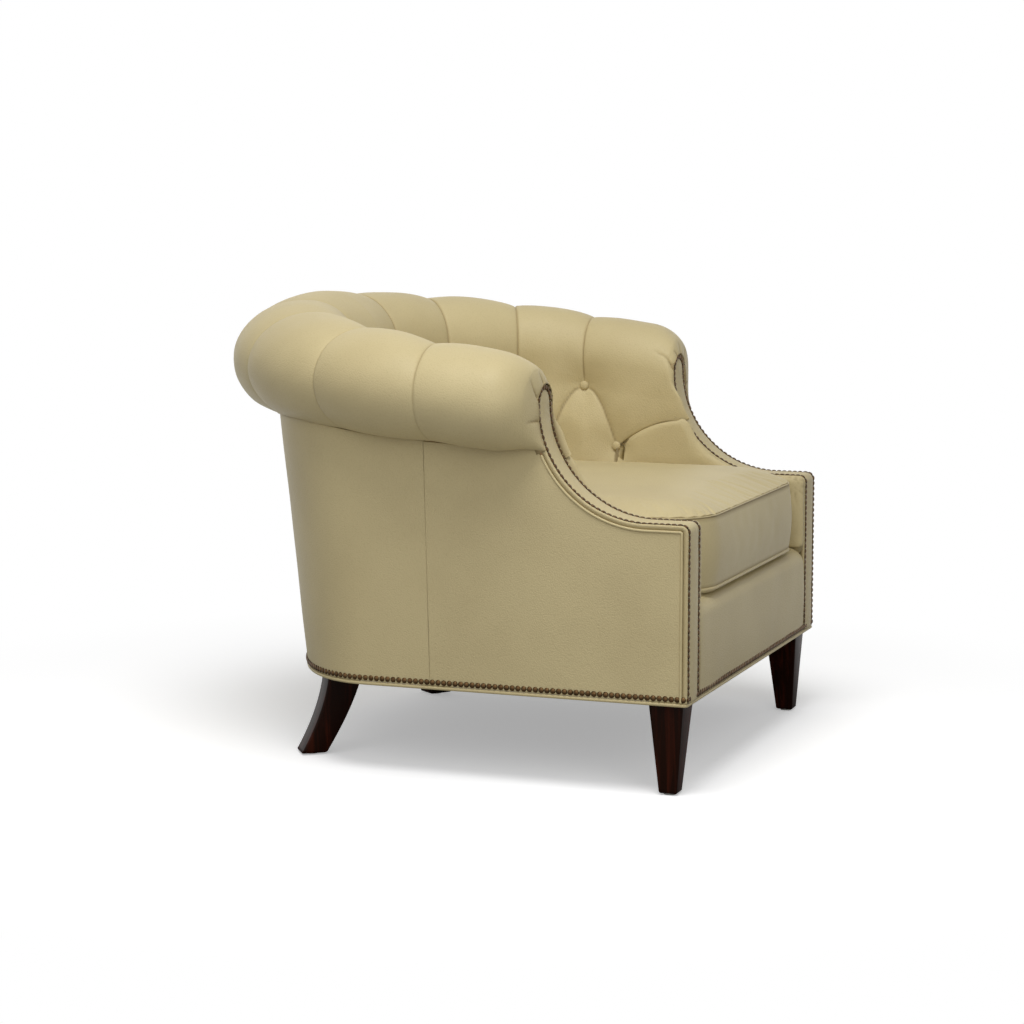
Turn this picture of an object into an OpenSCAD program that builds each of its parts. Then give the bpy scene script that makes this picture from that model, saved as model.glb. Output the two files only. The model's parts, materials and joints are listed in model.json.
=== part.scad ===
// Tufted leather club chair: barrel back, channelled roll, scooped arms, loose seat cushion.
// The chair faces -Y. X runs across it, Z is up, and the floor is at Z = 0.
// Depths are written from the front plane of the chair and shifted as a whole by front_y.

/* [Body] */
// Width over the outside arm panels
body_w = 772; // [680:2:860]
// Depth at which the straight sides turn into the curved back, at the base
body_side = 537; // [480:1:560]
// Depth of the base from the front plane to the back
body_depth = 747; // [720:1:790]
// How far the back leans outwards between base and roll
back_lean = 51; // [20:1:70]
// Height of the body above the floor, which is the visible leg
leg_h = 144; // [110:1:180]
// Thickness of the outside leather panels with their backing board
panel_t = 3; // [2:0.5:5]

/* [Roll] */
// Width between the centre lines of the two arm rolls
roll_w = 760; // [740:2:780]
// Depth at which the roll starts to curve
roll_side = 413; // [400:1:430]
// Depth of the centre line of the roll at the back
roll_depth = 770; // [750:1:790]
// Height of the roll centre at the arm fronts
roll_z_front = 593; // [580:1:620]
// Height of the roll centre at the back
roll_z_back = 647; // [630:1:680]
// Reach of the roll outwards from its centre line, at the arm fronts
roll_out_front = 90; // [80:1:100]
// Reach of the roll outwards at the back
roll_out_back = 124; // [110:1:135]
// Reach of the roll inwards at the arm fronts
roll_in_front = 50; // [44:1:60]
// Reach of the roll inwards at the back
roll_in_back = 100; // [80:1:110]
// Height of the roll above and below its centre, at the arm fronts
roll_rise_front = 72; // [66:1:80]
// Height of the roll above and below its centre, at the back
roll_rise_back = 99; // [90:1:108]
// How deep a channel seam is drawn into the roll
channel_depth = 9; // [4:1:14]

/* [Arms] */
// Height of the level top of the arm front above the floor
arm_h = 424; // [410:1:440]
// Depth of the upright part of the facing, behind the front plane
scoop_back = 243; // [230:1:255]
// Depth at which the scoop becomes level
scoop_front = 67; // [50:1:80]
// Radius of the front upper corner of the facing
corner_r = 12; // [10:1:16]
// Width of the nailed facing
facing_w = 65; // [56:1:72]
// Thickness of the nailed facing
facing_t = 8; // [6:1:10]
// Height of the tip of the facing above the floor
tip_z = 630; // [620:1:640]
// Radius of the piping along the facings
arm_welt_r = 2.1; // [1.5:0.1:2.4]
// Radius of the piping along the base
base_welt_r = 3; // [2:0.1:4]

/* [Seat] */
// Width between the inside arms
seat_w = 612; // [560:2:620]
// Depth at which the inside arms turn into the inside back
seat_side = 390; // [370:1:400]
// Depth from the front plane to the inside back, at the seat
seat_depth = 620; // [590:1:640]
// Height of the top of the seat deck above the floor
deck_z = 299; // [290:1:301]
// Height of the lower piping of the cushion above the floor
cushion_low_z = 306; // [305:1:312]
// Height of the upper piping of the cushion above the floor
cushion_high_z = 421; // [410:1:430]
// How far the crown of the cushion stands above its upper piping
cushion_crown = 34; // [20:1:45]
// Plan radius of the front corners of the cushion
cushion_corner_r = 95; // [70:1:110]
// Radius of the cushion piping
cushion_welt_r = 3; // [2:0.5:4]
// Diameter of the covered buttons
button_d = 17; // [14:1:22]

/* [Frame] */
// Thickness of the arm boards, back posts and top rail
frame_t = 22; // [18:1:26]
// Thickness of the seat rails
rail_t = 28; // [22:1:32]
// Height of the seat rails
rail_h = 76; // [60:1:90]
// Number of sinuous springs across the seat
spring_count = 6; // [4:1:8]
// Thickness of the spring wire
spring_wire = 3.6; // [3:0.1:4.5]
// Number of webbing straps behind the inside back
strap_count = 9; // [5:1:11]

/* [Legs] */
// Side of a front leg where it meets the seat frame
leg_top = 57; // [48:1:64]
// Side of a front leg at the floor
leg_foot = 29.5; // [24:0.5:40]
// How far a back leg sweeps outwards
leg_sweep = 48; // [20:1:60]
// Side of a back leg at the floor
back_foot = 43; // [34:1:48]
// Depth of a back leg where it meets the seat frame
back_leg_top = 60; // [50:1:64]
// Diameter of the hanger bolts
bolt_d = 8; // [6:1:10]
// Diameter of the glides
glide_d = 20; // [14:1:24]
// Thickness of the glides
glide_t = 3; // [2:0.5:4]

/* [Hidden] */
$fn = 48;

leather = "#b3a77e";
welt_leather = "#a89c74";
wood = "#2b140d";
beech = "#c9a877";
steel = "#8f9296";
jute = "#b89b6c";
black_cloth = "#26262a";

// Clearance between pieces that only touch, and between pieces that move past each other
touch = 0.3;
move_gap = 0.5;
cushion_clear = move_gap + 1;
// From the face of the outside panel to the hidden frame behind it
frame_gap = panel_t + 1.7;

body_r = body_w / 2;
roll_r = roll_w / 2;
roll_reach = roll_depth - roll_side;
top_rail_h = 45;
seat_r = seat_w / 2;
arm_in_x = body_r - facing_w;
scoop_r = scoop_back - scoop_front;
scoop_z = arm_h + scoop_r;
body_z = leg_h + 2 * base_welt_r + touch;
plate_t = 3;
leg_top_z = body_z;
rail_z = leg_top_z + plate_t;
rail_top_z = rail_z + rail_h;
lean_top_z = 545;

// The cushion front stands a little proud of the front plane, and the roll ends the back
cushion_bulge = 5;
front_edge = cushion_clear - cushion_bulge * (1 - cushion_clear / cushion_corner_r);
back_edge = roll_depth + roll_out_back;
front_y = -(front_edge + back_edge) / 2;

// Roll stations are degrees round the curve of the back: below 0 the near arm runs
// straight, from 0 to 180 is the curve, above 180 the other arm runs straight.
mm_per_deg = (roll_r + roll_reach) / 2 * PI / 180;
roll_tip_y = scoop_back - 15;
tip_turn = (roll_side - roll_tip_y) / mm_per_deg;
seams = [0, 23, 49, 74, 106, 131, 157, 180];
lower_turns = [-(roll_side - scoop_back - 106) / mm_per_deg, 11.5, 36, 61.5, 90, 118.5, 144, 168.5, 180 + (roll_side - scoop_back - 106) / mm_per_deg];

function clamp(x, low, high) = max(low, min(high, x));
function unit(v) = v / norm(v);
function mix(a, b, f) = a + (b - a) * f;

// Plan point and outward normal of the roll's centre line at a station
function roll_point(t) = t < 0 ? [-roll_r, roll_side + t * mm_per_deg]
    : t > 180 ? [roll_r, roll_side - (t - 180) * mm_per_deg]
    : [-roll_r * cos(t), roll_side + roll_reach * sin(t)];
function roll_normal(t) = t < 0 ? [-1, 0] : t > 180 ? [1, 0]
    : unit([-roll_reach * cos(t), roll_r * sin(t)]);

// Share of the way from an arm tip, 0, to the middle of the back, 1
function backness(t) = clamp(1 - abs(t - 90) / (90 + tip_turn), 0, 1);
function ease(t) = 1 - pow(1 - backness(t), 2);
function roll_z(t) = mix(roll_z_front, roll_z_back, ease(t));
function roll_out(t) = mix(roll_out_front, roll_out_back, backness(t));
function roll_in(t) = mix(roll_in_front, roll_in_back, backness(t));
function frame_top(t) = roll_z(t) - 3;
function rail_mid(t) = frame_top(t) - top_rail_h / 2;
function roll_rise(t) = mix(roll_rise_front, roll_rise_back, backness(t));

// Body outline at a height: straight sides, then half an ellipse that leans back
function lean_at(z) = back_lean * (z - leg_h) / (lean_top_z - leg_h);
function side_at(z) = body_side + lean_at(z) / 2;
function back_at(z) = body_depth + lean_at(z);

// Distance from a plan point along a direction to the body outline at a height
function reach_from(p, n, z) =
    let (side = abs(n[0]) > 0.001 ? (body_r - abs(p[0])) / abs(n[0]) : 10000,
         a = body_r, b = back_at(z) - side_at(z), q = p[1] - side_at(z))
    p[1] + side * n[1] <= side_at(z) ? side :
    let (k2 = pow(n[0] / a, 2) + pow(n[1] / b, 2),
         k1 = 2 * (p[0] * n[0] / (a * a) + q * n[1] / (b * b)),
         k0 = pow(p[0] / a, 2) + pow(q / b, 2) - 1)
    (-k1 + sqrt(k1 * k1 - 4 * k2 * k0)) / (2 * k2);
function reach(t, z) = reach_from(roll_point(t), roll_normal(t), z);

// Height at which the outside panel tucks under the roll
function under_z(t, o) = roll_z(t) - roll_rise(t) * sqrt(1 - pow(clamp(o / roll_out(t), -1, 1), 2));
function tuck_z(t) = let (first = under_z(t, reach(t, roll_z(t) - roll_rise(t))),
        second = under_z(t, reach(t, first))) under_z(t, reach(t, second));

// Body outline at the base, as points: front left, side, back curve, side, front right
function base_curve(inset, steps) =
    let (a = body_r - inset, b = body_depth - body_side - inset)
    [for (k = [0:steps]) let (w = 180 * k / steps) [-a * cos(w), body_side + b * sin(w)]];
function base_y(x, inset) = let (a = body_r - inset, b = body_depth - body_side - inset)
    body_side + b * sqrt(1 - pow(x / a, 2));

// A point of the section at a station: offset outwards o and height z
function place(t, oz) = let (p = roll_point(t), n = roll_normal(t))
    [p[0] + n[0] * oz[0], p[1] + n[1] * oz[0], oz[1]];

module set_back() translate([0, front_y, 0]) children();
module both_sides() for (m = [0, 1]) mirror([m, 0, 0]) children();

function middle(points) = [for (i = [0:2]) [for (q = points) 1] * [for (q = points) q[i]] / len(points)];

// Closed skin through rings of points that all have the same count
module skin(rings, loop = false, fan = false) {
    n = len(rings);
    m = len(rings[0]);
    last = loop ? n - 1 : n - 2;
    walls = [for (i = [0:last], j = [0:m - 1])
        let (a = i * m + j, b = i * m + (j + 1) % m,
             c = ((i + 1) % n) * m + (j + 1) % m, d = ((i + 1) % n) * m + j)
        each [[a, b, c], [a, c, d]]];
    fans = [for (j = [0:m - 1]) let (k = (j + 1) % m, a = (n - 1) * m)
        each [[n * m, k, j], [n * m + 1, a + j, a + k]]];
    ends = loop ? [] : fan ? fans : [[for (j = [m - 1:-1:0]) j], [for (j = [0:m - 1]) (n - 1) * m + j]];
    points = [for (r = rings) each r];
    polyhedron(fan ? concat(points, [middle(rings[0]), middle(rings[n - 1])]) : points, concat(walls, ends), 12);
}

// Arm profile seen from the side, moved inwards by d from the face of the facing,
// between a depth limit, a floor and a ceiling
module scoop_area(d, rear, low, top) {
    difference() {
        translate([d, low]) square([rear - d, top - low]);
        translate([scoop_front, scoop_z]) circle(r = scoop_r + d, $fn = 120);
        translate([-1, arm_h - d]) square([scoop_front + 1, top]);
        translate([-1, scoop_z]) square([scoop_back + d + 1, top]);
        if (d < facing_t) translate([d, arm_h - corner_r]) difference() {
            translate([-1, 0]) square([corner_r - d + 1, corner_r - d + 1]);
            translate([corner_r - d, 0]) circle(r = corner_r - d);
        }
    }
}

// Extrudes a depth and height area along X from x0 to x1
module across(x0, x1) translate([x0, 0, 0]) rotate([90, 0, 90]) linear_extrude(x1 - x0) children();

bolt_leg = 40;
bolt_rail = 34;
bolt_clear = 0.6;

// Front leg: a square leg that tapers to its foot, more on the inner faces
front_leg_x = body_r - 17;
front_leg_y = 11;
foot_in_x = 5;
foot_in_y = 11;
module front_leg() {
    bevel = 1.5;
    bolt_x = front_leg_x - leg_top / 2;
    bolt_y = front_leg_y + leg_top / 2;
    foot_x = front_leg_x - foot_in_x;
    foot_y = front_leg_y + foot_in_y;
    rings = [for (s = [[glide_t, bevel], [glide_t + bevel, 0], [leg_top_z, 0]])
        let (f = (s[0] - glide_t) / (leg_top_z - glide_t),
             x1 = mix(foot_x, front_leg_x, f) - s[1],
             x0 = mix(foot_x - leg_foot, front_leg_x - leg_top, f) + s[1],
             y0 = mix(foot_y, front_leg_y, f) + s[1],
             y1 = mix(foot_y + leg_foot, front_leg_y + leg_top, f) - s[1])
        [[x0, y0, s[0]], [x0, y1, s[0]], [x1, y1, s[0]], [x1, y0, s[0]]]];
    difference() {
        skin(rings);
        translate([bolt_x, bolt_y, leg_top_z - bolt_leg]) cylinder(d = bolt_d + bolt_clear, h = bolt_leg + 1);
    }
}

// Back leg: a sabre leg, square in section, that sweeps out along the diagonal
sweep_dir = [0.6, 0.8];
cross_dir = [-0.8, 0.6];
sweep_turn = atan2(sweep_dir[1], sweep_dir[0]);
back_foot_x = body_r - 83;
back_foot_y = body_depth - 62;
function back_leg_ring(f) =
    let (out = leg_sweep * pow(1 - f, 1.8) - leg_sweep,
         deep = mix(back_foot, back_leg_top, pow(f, 1.5)),
         wide = mix(back_foot, back_foot + 6, f),
         z = mix(glide_t, leg_top_z, f),
         corner = [back_foot_x, back_foot_y] + sweep_dir * out)
    [for (c = [[0, 0], [0, 1], [1, 1], [1, 0]])
        let (q = corner + cross_dir * wide * c[0] - sweep_dir * deep * c[1]) [q[0], q[1], z]];
back_bolt = [back_foot_x, back_foot_y] - sweep_dir * (leg_sweep + back_leg_top / 2)
    + cross_dir * (back_foot + 6) / 2;
module back_leg() {
    difference() {
        skin([for (k = [0:12]) back_leg_ring(k / 12)]);
        translate([back_bolt[0], back_bolt[1], leg_top_z - bolt_leg])
            cylinder(d = bolt_d + bolt_clear, h = bolt_leg + 1);
    }
}

module leg_front_left() color(wood) set_back() front_leg();
module leg_front_right() color(wood) set_back() mirror([1, 0, 0]) front_leg();
module leg_back_left() color(wood) set_back() back_leg();
module leg_back_right() color(wood) set_back() mirror([1, 0, 0]) back_leg();

front_bolt = [front_leg_x - leg_top / 2, front_leg_y + leg_top / 2];
front_glide = [front_leg_x - foot_in_x - leg_foot / 2, front_leg_y + foot_in_y + leg_foot / 2];
back_glide = [back_foot_x, back_foot_y] + (cross_dir - sweep_dir) * back_foot / 2;

module glides() color(steel) set_back() both_sides()
    for (p = [front_glide, back_glide]) translate([p[0], p[1], 0]) {
        cylinder(d = glide_d, h = glide_t);
    }

module leg_plates() color(steel) set_back() both_sides() {
    plate = 44;
    for (q = [[front_bolt, 0], [back_bolt, sweep_turn]])
        translate([q[0][0], q[0][1], leg_top_z]) rotate(q[1]) difference() {
            translate([-plate / 2, -plate / 2, 0]) cube([plate, plate, plate_t]);
            translate([0, 0, -1]) cylinder(d = bolt_d + bolt_clear, h = plate_t + 2);
        }
}

module hanger_bolts() color(steel) set_back() both_sides()
    for (p = [front_bolt, back_bolt]) translate([p[0], p[1], leg_top_z - bolt_leg + touch])
        cylinder(d = bolt_d, h = bolt_leg + plate_t + bolt_rail - 2 * touch);

// Seat frame: straight front and side rails, a curved back rail and corner blocks
board_x = body_r - panel_t - touch;
post_w = 36;
post_d = 40;
post_x = board_x - frame_t - touch;
post_y = facing_t + touch;
side_rail_end = body_side - 60;
module seat_rail_front() color(beech) set_back()
    translate([-(post_x - post_w - touch), post_y + 1, rail_z])
        cube([2 * (post_x - post_w - touch), rail_t, rail_h]);

module side_rail() translate([post_x - rail_t, post_y + post_d + touch, rail_z]) {
    length = side_rail_end - post_y - post_d - touch;
    cube([rail_t, length, rail_h]);
}
module seat_rail_left() color(beech) set_back() side_rail();
module seat_rail_right() color(beech) set_back() mirror([1, 0, 0]) side_rail();

// Curved back rail: an even band behind the outside panel, square to the sides at its ends
block_reach = 45;
module seat_rail_back() color(beech) set_back() {
    outer = base_curve(frame_gap, 36);
    inner = base_curve(frame_gap + rail_t, 36);
    y = side_rail_end + touch;
    out_x = body_r - frame_gap;
    in_x = out_x - rail_t;
    translate([0, 0, rail_z]) linear_extrude(rail_h)
        polygon(concat([[-in_x, y], [-out_x, y]], outer, [[out_x, y], [in_x, y]],
            [for (k = [36:-1:0]) inner[k]]));
}

// Corner blocks: triangles behind the front rail, and blocks over the back legs
block_h = bolt_rail + 6;
module corner_blocks() color(beech) set_back() both_sides() {
    size = 62;
    inner_x = post_x - rail_t - touch;
    front = post_y + 1 + rail_t + touch;
    inner = base_curve(frame_gap + rail_t + touch, 36);
    translate([0, 0, rail_z]) linear_extrude(block_h)
        polygon([[post_x - post_w - touch, front], [post_x - post_w - touch, post_y + post_d + touch],
            [inner_x, post_y + post_d + touch], [inner_x, front + size], [inner_x - size, front]]);
    difference() {
        translate([0, 0, rail_z]) linear_extrude(block_h) intersection() {
            translate(back_bolt) rotate(sweep_turn) square([2 * block_reach, back_foot + 30], center = true);
            polygon(inner);
        }
        translate([back_bolt[0], back_bolt[1], rail_z - 1]) cylinder(d = bolt_d + bolt_clear, h = block_h + 2);
    }
}

// Arm frame: a post behind the facing and a board cut to the scoop
module arm_post() difference() {
    translate([post_x - post_w, post_y, rail_z]) cube([post_w, post_d, arm_h - facing_t - touch - rail_z]);
    translate([front_bolt[0], front_bolt[1], rail_z - 1]) cylinder(d = bolt_d + bolt_clear, h = bolt_rail + 2);
}
module arm_post_left() color(beech) set_back() arm_post();
module arm_post_right() color(beech) set_back() mirror([1, 0, 0]) arm_post();

board_rear = roll_side + 27;
board_turn = asin((board_rear - roll_side) / roll_reach);
// Room in the arm board for the front buttons of the upper row
module button_room() for (t = [seams[0]]) translate([0, roll_point(t)[1], upper_z(t)]) rotate([0, 90, 0])
    cylinder(d = button_d + 2 * touch, h = roll_r - roll_in(t) + tuft_depth);
module arm_board() difference() {
    board_plate();
    button_room();
}
module board_plate() across(board_x - frame_t, board_x) difference() {
    scoop_area(facing_t + touch, board_rear, rail_z, frame_top(board_turn));
    translate([scoop_back, frame_top(-tip_turn)]) polygon([[0, 0], [0, 60],
        [board_rear - scoop_back + 1, 60],
        [board_rear - scoop_back + 1, frame_top(board_turn) - frame_top(-tip_turn)]]);
    hull() {
        translate([scoop_front + 83, rail_top_z + 61]) circle(r = 45, $fn = 32);
        translate([board_rear - 110, rail_top_z + 71]) circle(r = 60, $fn = 32);
        translate([board_rear - 90, arm_h + 16]) circle(r = 50, $fn = 32);
    }
}
module arm_board_left() color(beech) set_back() arm_board();
module arm_board_right() color(beech) set_back() mirror([1, 0, 0]) arm_board();

rail_turn = board_turn + 0.5;
module top_rail() color(beech) set_back()
    skin([for (k = [0:32]) let (t = mix(rail_turn, 180 - rail_turn, k / 32), z1 = frame_top(t),
            z0 = z1 - top_rail_h, o = reach(t, rail_mid(t)) - frame_gap)
        [place(t, [o - frame_t, z0]), place(t, [o - frame_t, z1]), place(t, [o, z1]), place(t, [o, z0])]]);

post_half = 17;
// Station whose normal meets the back rail at x, found in two steps from the roll's curve
function station_near(x, t) = acos(clamp((roll_normal(t)[0] * reach(t, rail_top_z) - x) / roll_r, -1, 1));
function station_at(x) = station_near(x, station_near(x, acos(-x / roll_r)));
module back_posts() color(beech) set_back() {
    half = post_half / mm_per_deg;
    side_x = (spring_x(0) + spring_x(1)) / 2;
    for (t = [side_turn, station_at(side_x), 90, station_at(-side_x), 180 - side_turn]) {
        low = rail_top_z + touch;
        rings = [for (k = [0:4])
            [for (c = [[-half, 0], [0, 0], [half, 0], [half, -frame_t], [0, -frame_t], [-half, -frame_t]])
                let (z = mix(low, frame_top(t + c[0]) - top_rail_h - 2 * touch, k / 4)) place(t + c[0], [reach(t + c[0], z) - frame_gap + c[1], z])]];
        skin(rings);
    }
}

side_turn = 18;
strap_t = 2;
strap_w = 50;
strap_gap = 0.9;
module back_webbing() color(jute) set_back()
    for (k = [0:strap_count - 1]) {
        t = mix(26, 154, k / (strap_count - 1));
        half = strap_w / 2 / mm_per_deg;
        rings = [for (z = [section_low, rail_mid(t)])
            [for (c = [[-half, 0], [0, 0], [half, 0], [half, -strap_t], [0, -strap_t], [-half, -strap_t]])
                place(t + c[0], [reach(t + c[0], z) - frame_gap - frame_t - strap_gap + c[1], z])]];
        skin(rings);
    }

// Springs: serpentine wire laid flat from the front rail to the curved back rail
spring_z = rail_top_z + 2;
spring_step = 28;
spring_wide = 46;
function spring_x(k) = mix(-seat_r + 76, seat_r - 76, k / (spring_count - 1));
spring_y0 = post_y + 1 + rail_t / 2;
function spring_end(x) = base_y(x, frame_gap + rail_t / 2);
module serpentine(x, y0, y1) {
    turns = floor((y1 - y0) / spring_step);
    step = (y1 - y0) / turns;
    lane = spring_wide / 2 - step / 2;
    for (k = [0:turns]) translate([x - lane, y0 + k * step - spring_wire / 2])
        square([2 * lane, spring_wire]);
    for (k = [0:turns - 1]) let (side = k % 2 == 0 ? 1 : -1)
        translate([x + side * lane, y0 + (k + 0.5) * step]) intersection() {
            difference() {
                circle(r = step / 2 + spring_wire / 2);
                circle(r = step / 2 - spring_wire / 2);
            }
            translate([side > 0 ? 0 : -step, -step]) square([step, 2 * step]);
        }
}
module seat_springs() color(steel) set_back()
    for (k = [0:spring_count - 1]) let (x = spring_x(k)) translate([0, 0, spring_z])
        linear_extrude(spring_wire) serpentine(x, spring_y0, spring_end(x));

module spring_clips() color(steel) set_back()
    for (k = [0:spring_count - 1]) let (x = spring_x(k))
        for (y = [spring_y0, spring_end(x)]) translate([x - 11, y - 8, rail_top_z]) difference() {
            cube([22, 16, spring_wire + 4.5]);
            translate([-1, 8 - spring_wire / 2 - touch, 2 - touch])
                cube([24, 20, spring_wire + 2 * touch]);
        }

tie_d = 3;
tie_x = spring_x(spring_count - 1) + spring_wide / 2 + 4;
module spring_ties() color(steel) set_back()
    for (f = [0.37, 0.645]) translate([-tie_x, f * seat_depth, spring_z + spring_wire + tie_d / 2])
        rotate([0, 90, 0]) cylinder(d = tie_d, h = 2 * tie_x);

// Seat outline: straight front, inside arms and half an ellipse at the back
function seat_curve(inset, steps) =
    let (a = seat_r - inset, b = seat_depth - seat_side - inset)
    [for (k = [0:steps]) let (w = 180 * k / steps) [-a * cos(w), seat_side + b * sin(w)]];
rail_cover_d = 60;
module seat_deck() color(black_cloth) set_back() translate([0, 0, spring_z + spring_wire + tie_d + touch])
    linear_extrude(deck_z - spring_z - spring_wire - tie_d - touch)
        polygon(concat([[-seat_r + move_gap, rail_cover_d + touch]], seat_curve(move_gap, 36),
            [[seat_r - move_gap, rail_cover_d + touch]]));

dust_t = 1.2;
module dust_cover() color(black_cloth) set_back() translate([0, 0, rail_z - touch - dust_t])
    linear_extrude(dust_t) difference() {
        edge = panel_t + 14;
        polygon(concat([[-(body_r - edge), edge]], base_curve(edge, 36), [[body_r - edge, edge]]));
        both_sides() {
            translate([front_bolt[0] - leg_top / 2 - 1, front_bolt[1] - leg_top / 2 - 1])
                square(leg_top + 2);
            translate(back_bolt) rotate(sweep_turn)
                square([back_leg_top + 2, back_foot + 8], center = true);
        }
    }

// Front rail cover: leather over padding, rounded over the top of the rail
module front_rail_cover() color(leather) set_back() {
    round_r = 20;
    half = arm_in_x - touch;
    across(-half, half) difference() {
        union() {
            translate([0, body_z]) square([rail_cover_d, deck_z - body_z - round_r]);
            translate([round_r, deck_z - round_r]) circle(r = round_r);
            translate([round_r, deck_z - 2 * round_r]) square([rail_cover_d - round_r, 2 * round_r]);
        }
        translate([post_y + 1 - touch, body_z - 1]) square([rail_cover_d, rail_top_z + 10 - body_z]);
    }
}

// Tufted inside back with its roll, in sections along the stations
section_low = spring_z + spring_wire + tie_d + 2 * touch;
tuft_depth = 22;
seam_y = scoop_back + 106;
seam_low_z = arm_h + 38;
seam_high_y = scoop_back - 21;
seam_high_z = arm_h + 91;
function seam_z(y) = seam_high_z
    - (seam_high_z - seam_low_z) * pow(clamp((y - seam_high_y) / (seam_y - seam_high_y), 0, 1), 2);
function upper_z(t) = roll_z(t) - 45;
function lower_z(t) = seam_low_z + 15 * backness(t);
// Height at which the inside wall starts to lean back towards the roll
wall_turn_z = cushion_high_z + 9;

// Depth of the seam or channel valley at a station, 1 on a seam and 0 between seams
function valley(t, marks) = max([for (s = marks) exp(-pow((t - s) / 2.2, 2))]);
function dimple(t, z, marks, row_z) =
    max([for (s = marks) exp(-pow((t - s) / 3.2, 2) - pow((z - row_z) / 22, 2))]);
function channel_swell(t) = 1 - valley(t, seams);
function wall_swell(t, z) = -tuft_depth * max(dimple(t, z, seams, upper_z(t)),
    dimple(t, z, lower_turns, lower_z(t)));

function seat_in(t) = seat_reach(roll_point(t), -roll_normal(t));
// Distance from a roll point inwards to the seat outline
function seat_reach(p, n) =
    let (a = seat_r, b = seat_depth - seat_side, q = p[1] - seat_side,
         k2 = pow(n[0] / a, 2) + pow(n[1] / b, 2),
         k1 = 2 * (p[0] * n[0] / (a * a) + q * n[1] / (b * b)),
         k0 = pow(p[0] / a, 2) + pow(q / b, 2) - 1,
         root = k1 * k1 - 4 * k2 * k0,
         curve = (-k1 - sqrt(max(root, 0))) / (2 * k2))
    root > 0 && p[1] + curve * n[1] >= seat_side ? curve : (abs(p[0]) - seat_r) / abs(n[0]);

function section(t) =
    let (y = roll_point(t)[1], z0 = y < seam_y ? seam_z(y) + touch : section_low,
         zc = roll_z(t), inner = seat_in(t), up = roll_in(t), rise = roll_rise(t),
         low_row = lower_z(t), up_row = upper_z(t),
         levels = [z0, max(z0 + 2, wall_turn_z - 30), max(z0 + 4, low_row), max(z0 + 8, low_row + 35),
             max(z0 + 14, up_row - 30), max(z0 + 20, up_row)],
         swell = channel_depth * (channel_swell(t) - 1),
         wall = [for (z = levels) let (f = clamp((z - wall_turn_z) / (up_row - wall_turn_z), 0, 1))
             [-mix(inner, up, f * f) - wall_swell(t, z), z]],
         under = tuck_z(t), outer = reach(t, under) + touch,
         last = -acos(clamp(outer / roll_out(t), -1, 1)),
         turns = concat([for (k = [0:6]) 180 - 30 * k], [for (k = [1:4]) last * k / 4]),
         cap = [for (w = turns) let (fade = w == last ? 0 : swell)
             [((cos(w) < 0 ? roll_in(t) : roll_out(t)) + fade) * cos(w), zc + (rise + fade) * sin(w)]],
         slot_top = frame_top(t) + strap_gap,
         slot_out = reach(t, rail_mid(t)) - frame_gap + 3 * strap_gap,
         lining = frame_gap + frame_t + strap_t + 3 * strap_gap)
    concat(wall, cap, [[slot_out, under], [slot_out, slot_top],
        [reach(t, slot_top) - lining, slot_top], [reach(t, z0) - lining, z0]]);

function shrink(points, f, centre) = [for (q = points) centre + (q - centre) * f];
end_steps = [[roll_tip_y, 0.78], [roll_tip_y + 3, 0.9], [roll_tip_y + 10, 0.97]];
arm_steps = concat([for (f = [0, 0.25, 0.5, 0.75]) mix(scoop_back + facing_t, seam_y, f)],
    [seam_y - 0.01, seam_y + 0.8], [for (f = [0.4, 0.72]) mix(seam_y, roll_side, f)]);
function turn_of(y) = (y - roll_side) / mm_per_deg;
curve_turns = [for (c = [0:6], k = [0:3]) mix(seams[c], seams[c + 1], k / 4)];
module inside_back() color(leather) set_back() difference() {
    ends = [for (e = end_steps) let (t = turn_of(e[0])) [t, e[1]]];
    turns = concat(ends, [for (y = arm_steps) [turn_of(y), 1]], [for (t = curve_turns) [t, 1]],
        [[180, 1]], [for (k = [len(arm_steps) - 1:-1:0]) [180 - turn_of(arm_steps[k]), 1]],
        [for (k = [2:-1:0]) [180 - ends[k][0], ends[k][1]]]);
    skin([for (s = turns) [for (q = shrink(section(s[0]), s[1], [0, roll_z(s[0])])) place(s[0], q)]]);
    both_sides() translate([arm_in_x - touch, -1, 0]) {
        height = tip_z - facing_w / 2;
        cube([facing_w + 2 * touch, scoop_back + facing_t + touch + 1, height]);
        translate([facing_w / 2 + touch, 0, height]) rotate([-90, 0, 0])
            cylinder(d = facing_w + 2 * touch, h = scoop_back + facing_t + touch + 1, $fn = 64);
    }
}

// Inside arm panel: the padded leather below the tufting, proud of the facing on its inner edge
arm_top_z = seam_high_z - 14;
function arm_top(d, back) = let (first = asin((scoop_z - arm_top_z) / (scoop_r + d)),
        round_r = max(corner_r - d, 3)) concat(
    [[seam_y - touch - back, seam_low_z - 1 - back]],
    [for (k = [1:6]) let (y = mix(seam_y, seam_high_y + 16, k / 6)) [y - back, seam_z(y) - touch - back]],
    [for (k = [0:8]) let (w = mix(first, 90, k / 8))
        [scoop_front + (scoop_r + d) * cos(w), scoop_z - (scoop_r + d) * sin(w)]],
    [for (k = [0:4]) let (w = 90 * k / 4)
        [d + round_r - round_r * sin(w), arm_h - d - round_r + round_r * cos(w)]]);
module arm_slab(x0, x1, front) across(x0, x1) intersection() {
    d = facing_t + touch;
    low = rail_top_z + touch;
    scoop_area(d, seam_y - touch, low, seam_high_z);
    polygon(concat([[front, low], [seam_y - touch, low]], [for (k = [0:7]) arm_top(d, 0)[k]], [[front, arm_top_z]]));
}
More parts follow.
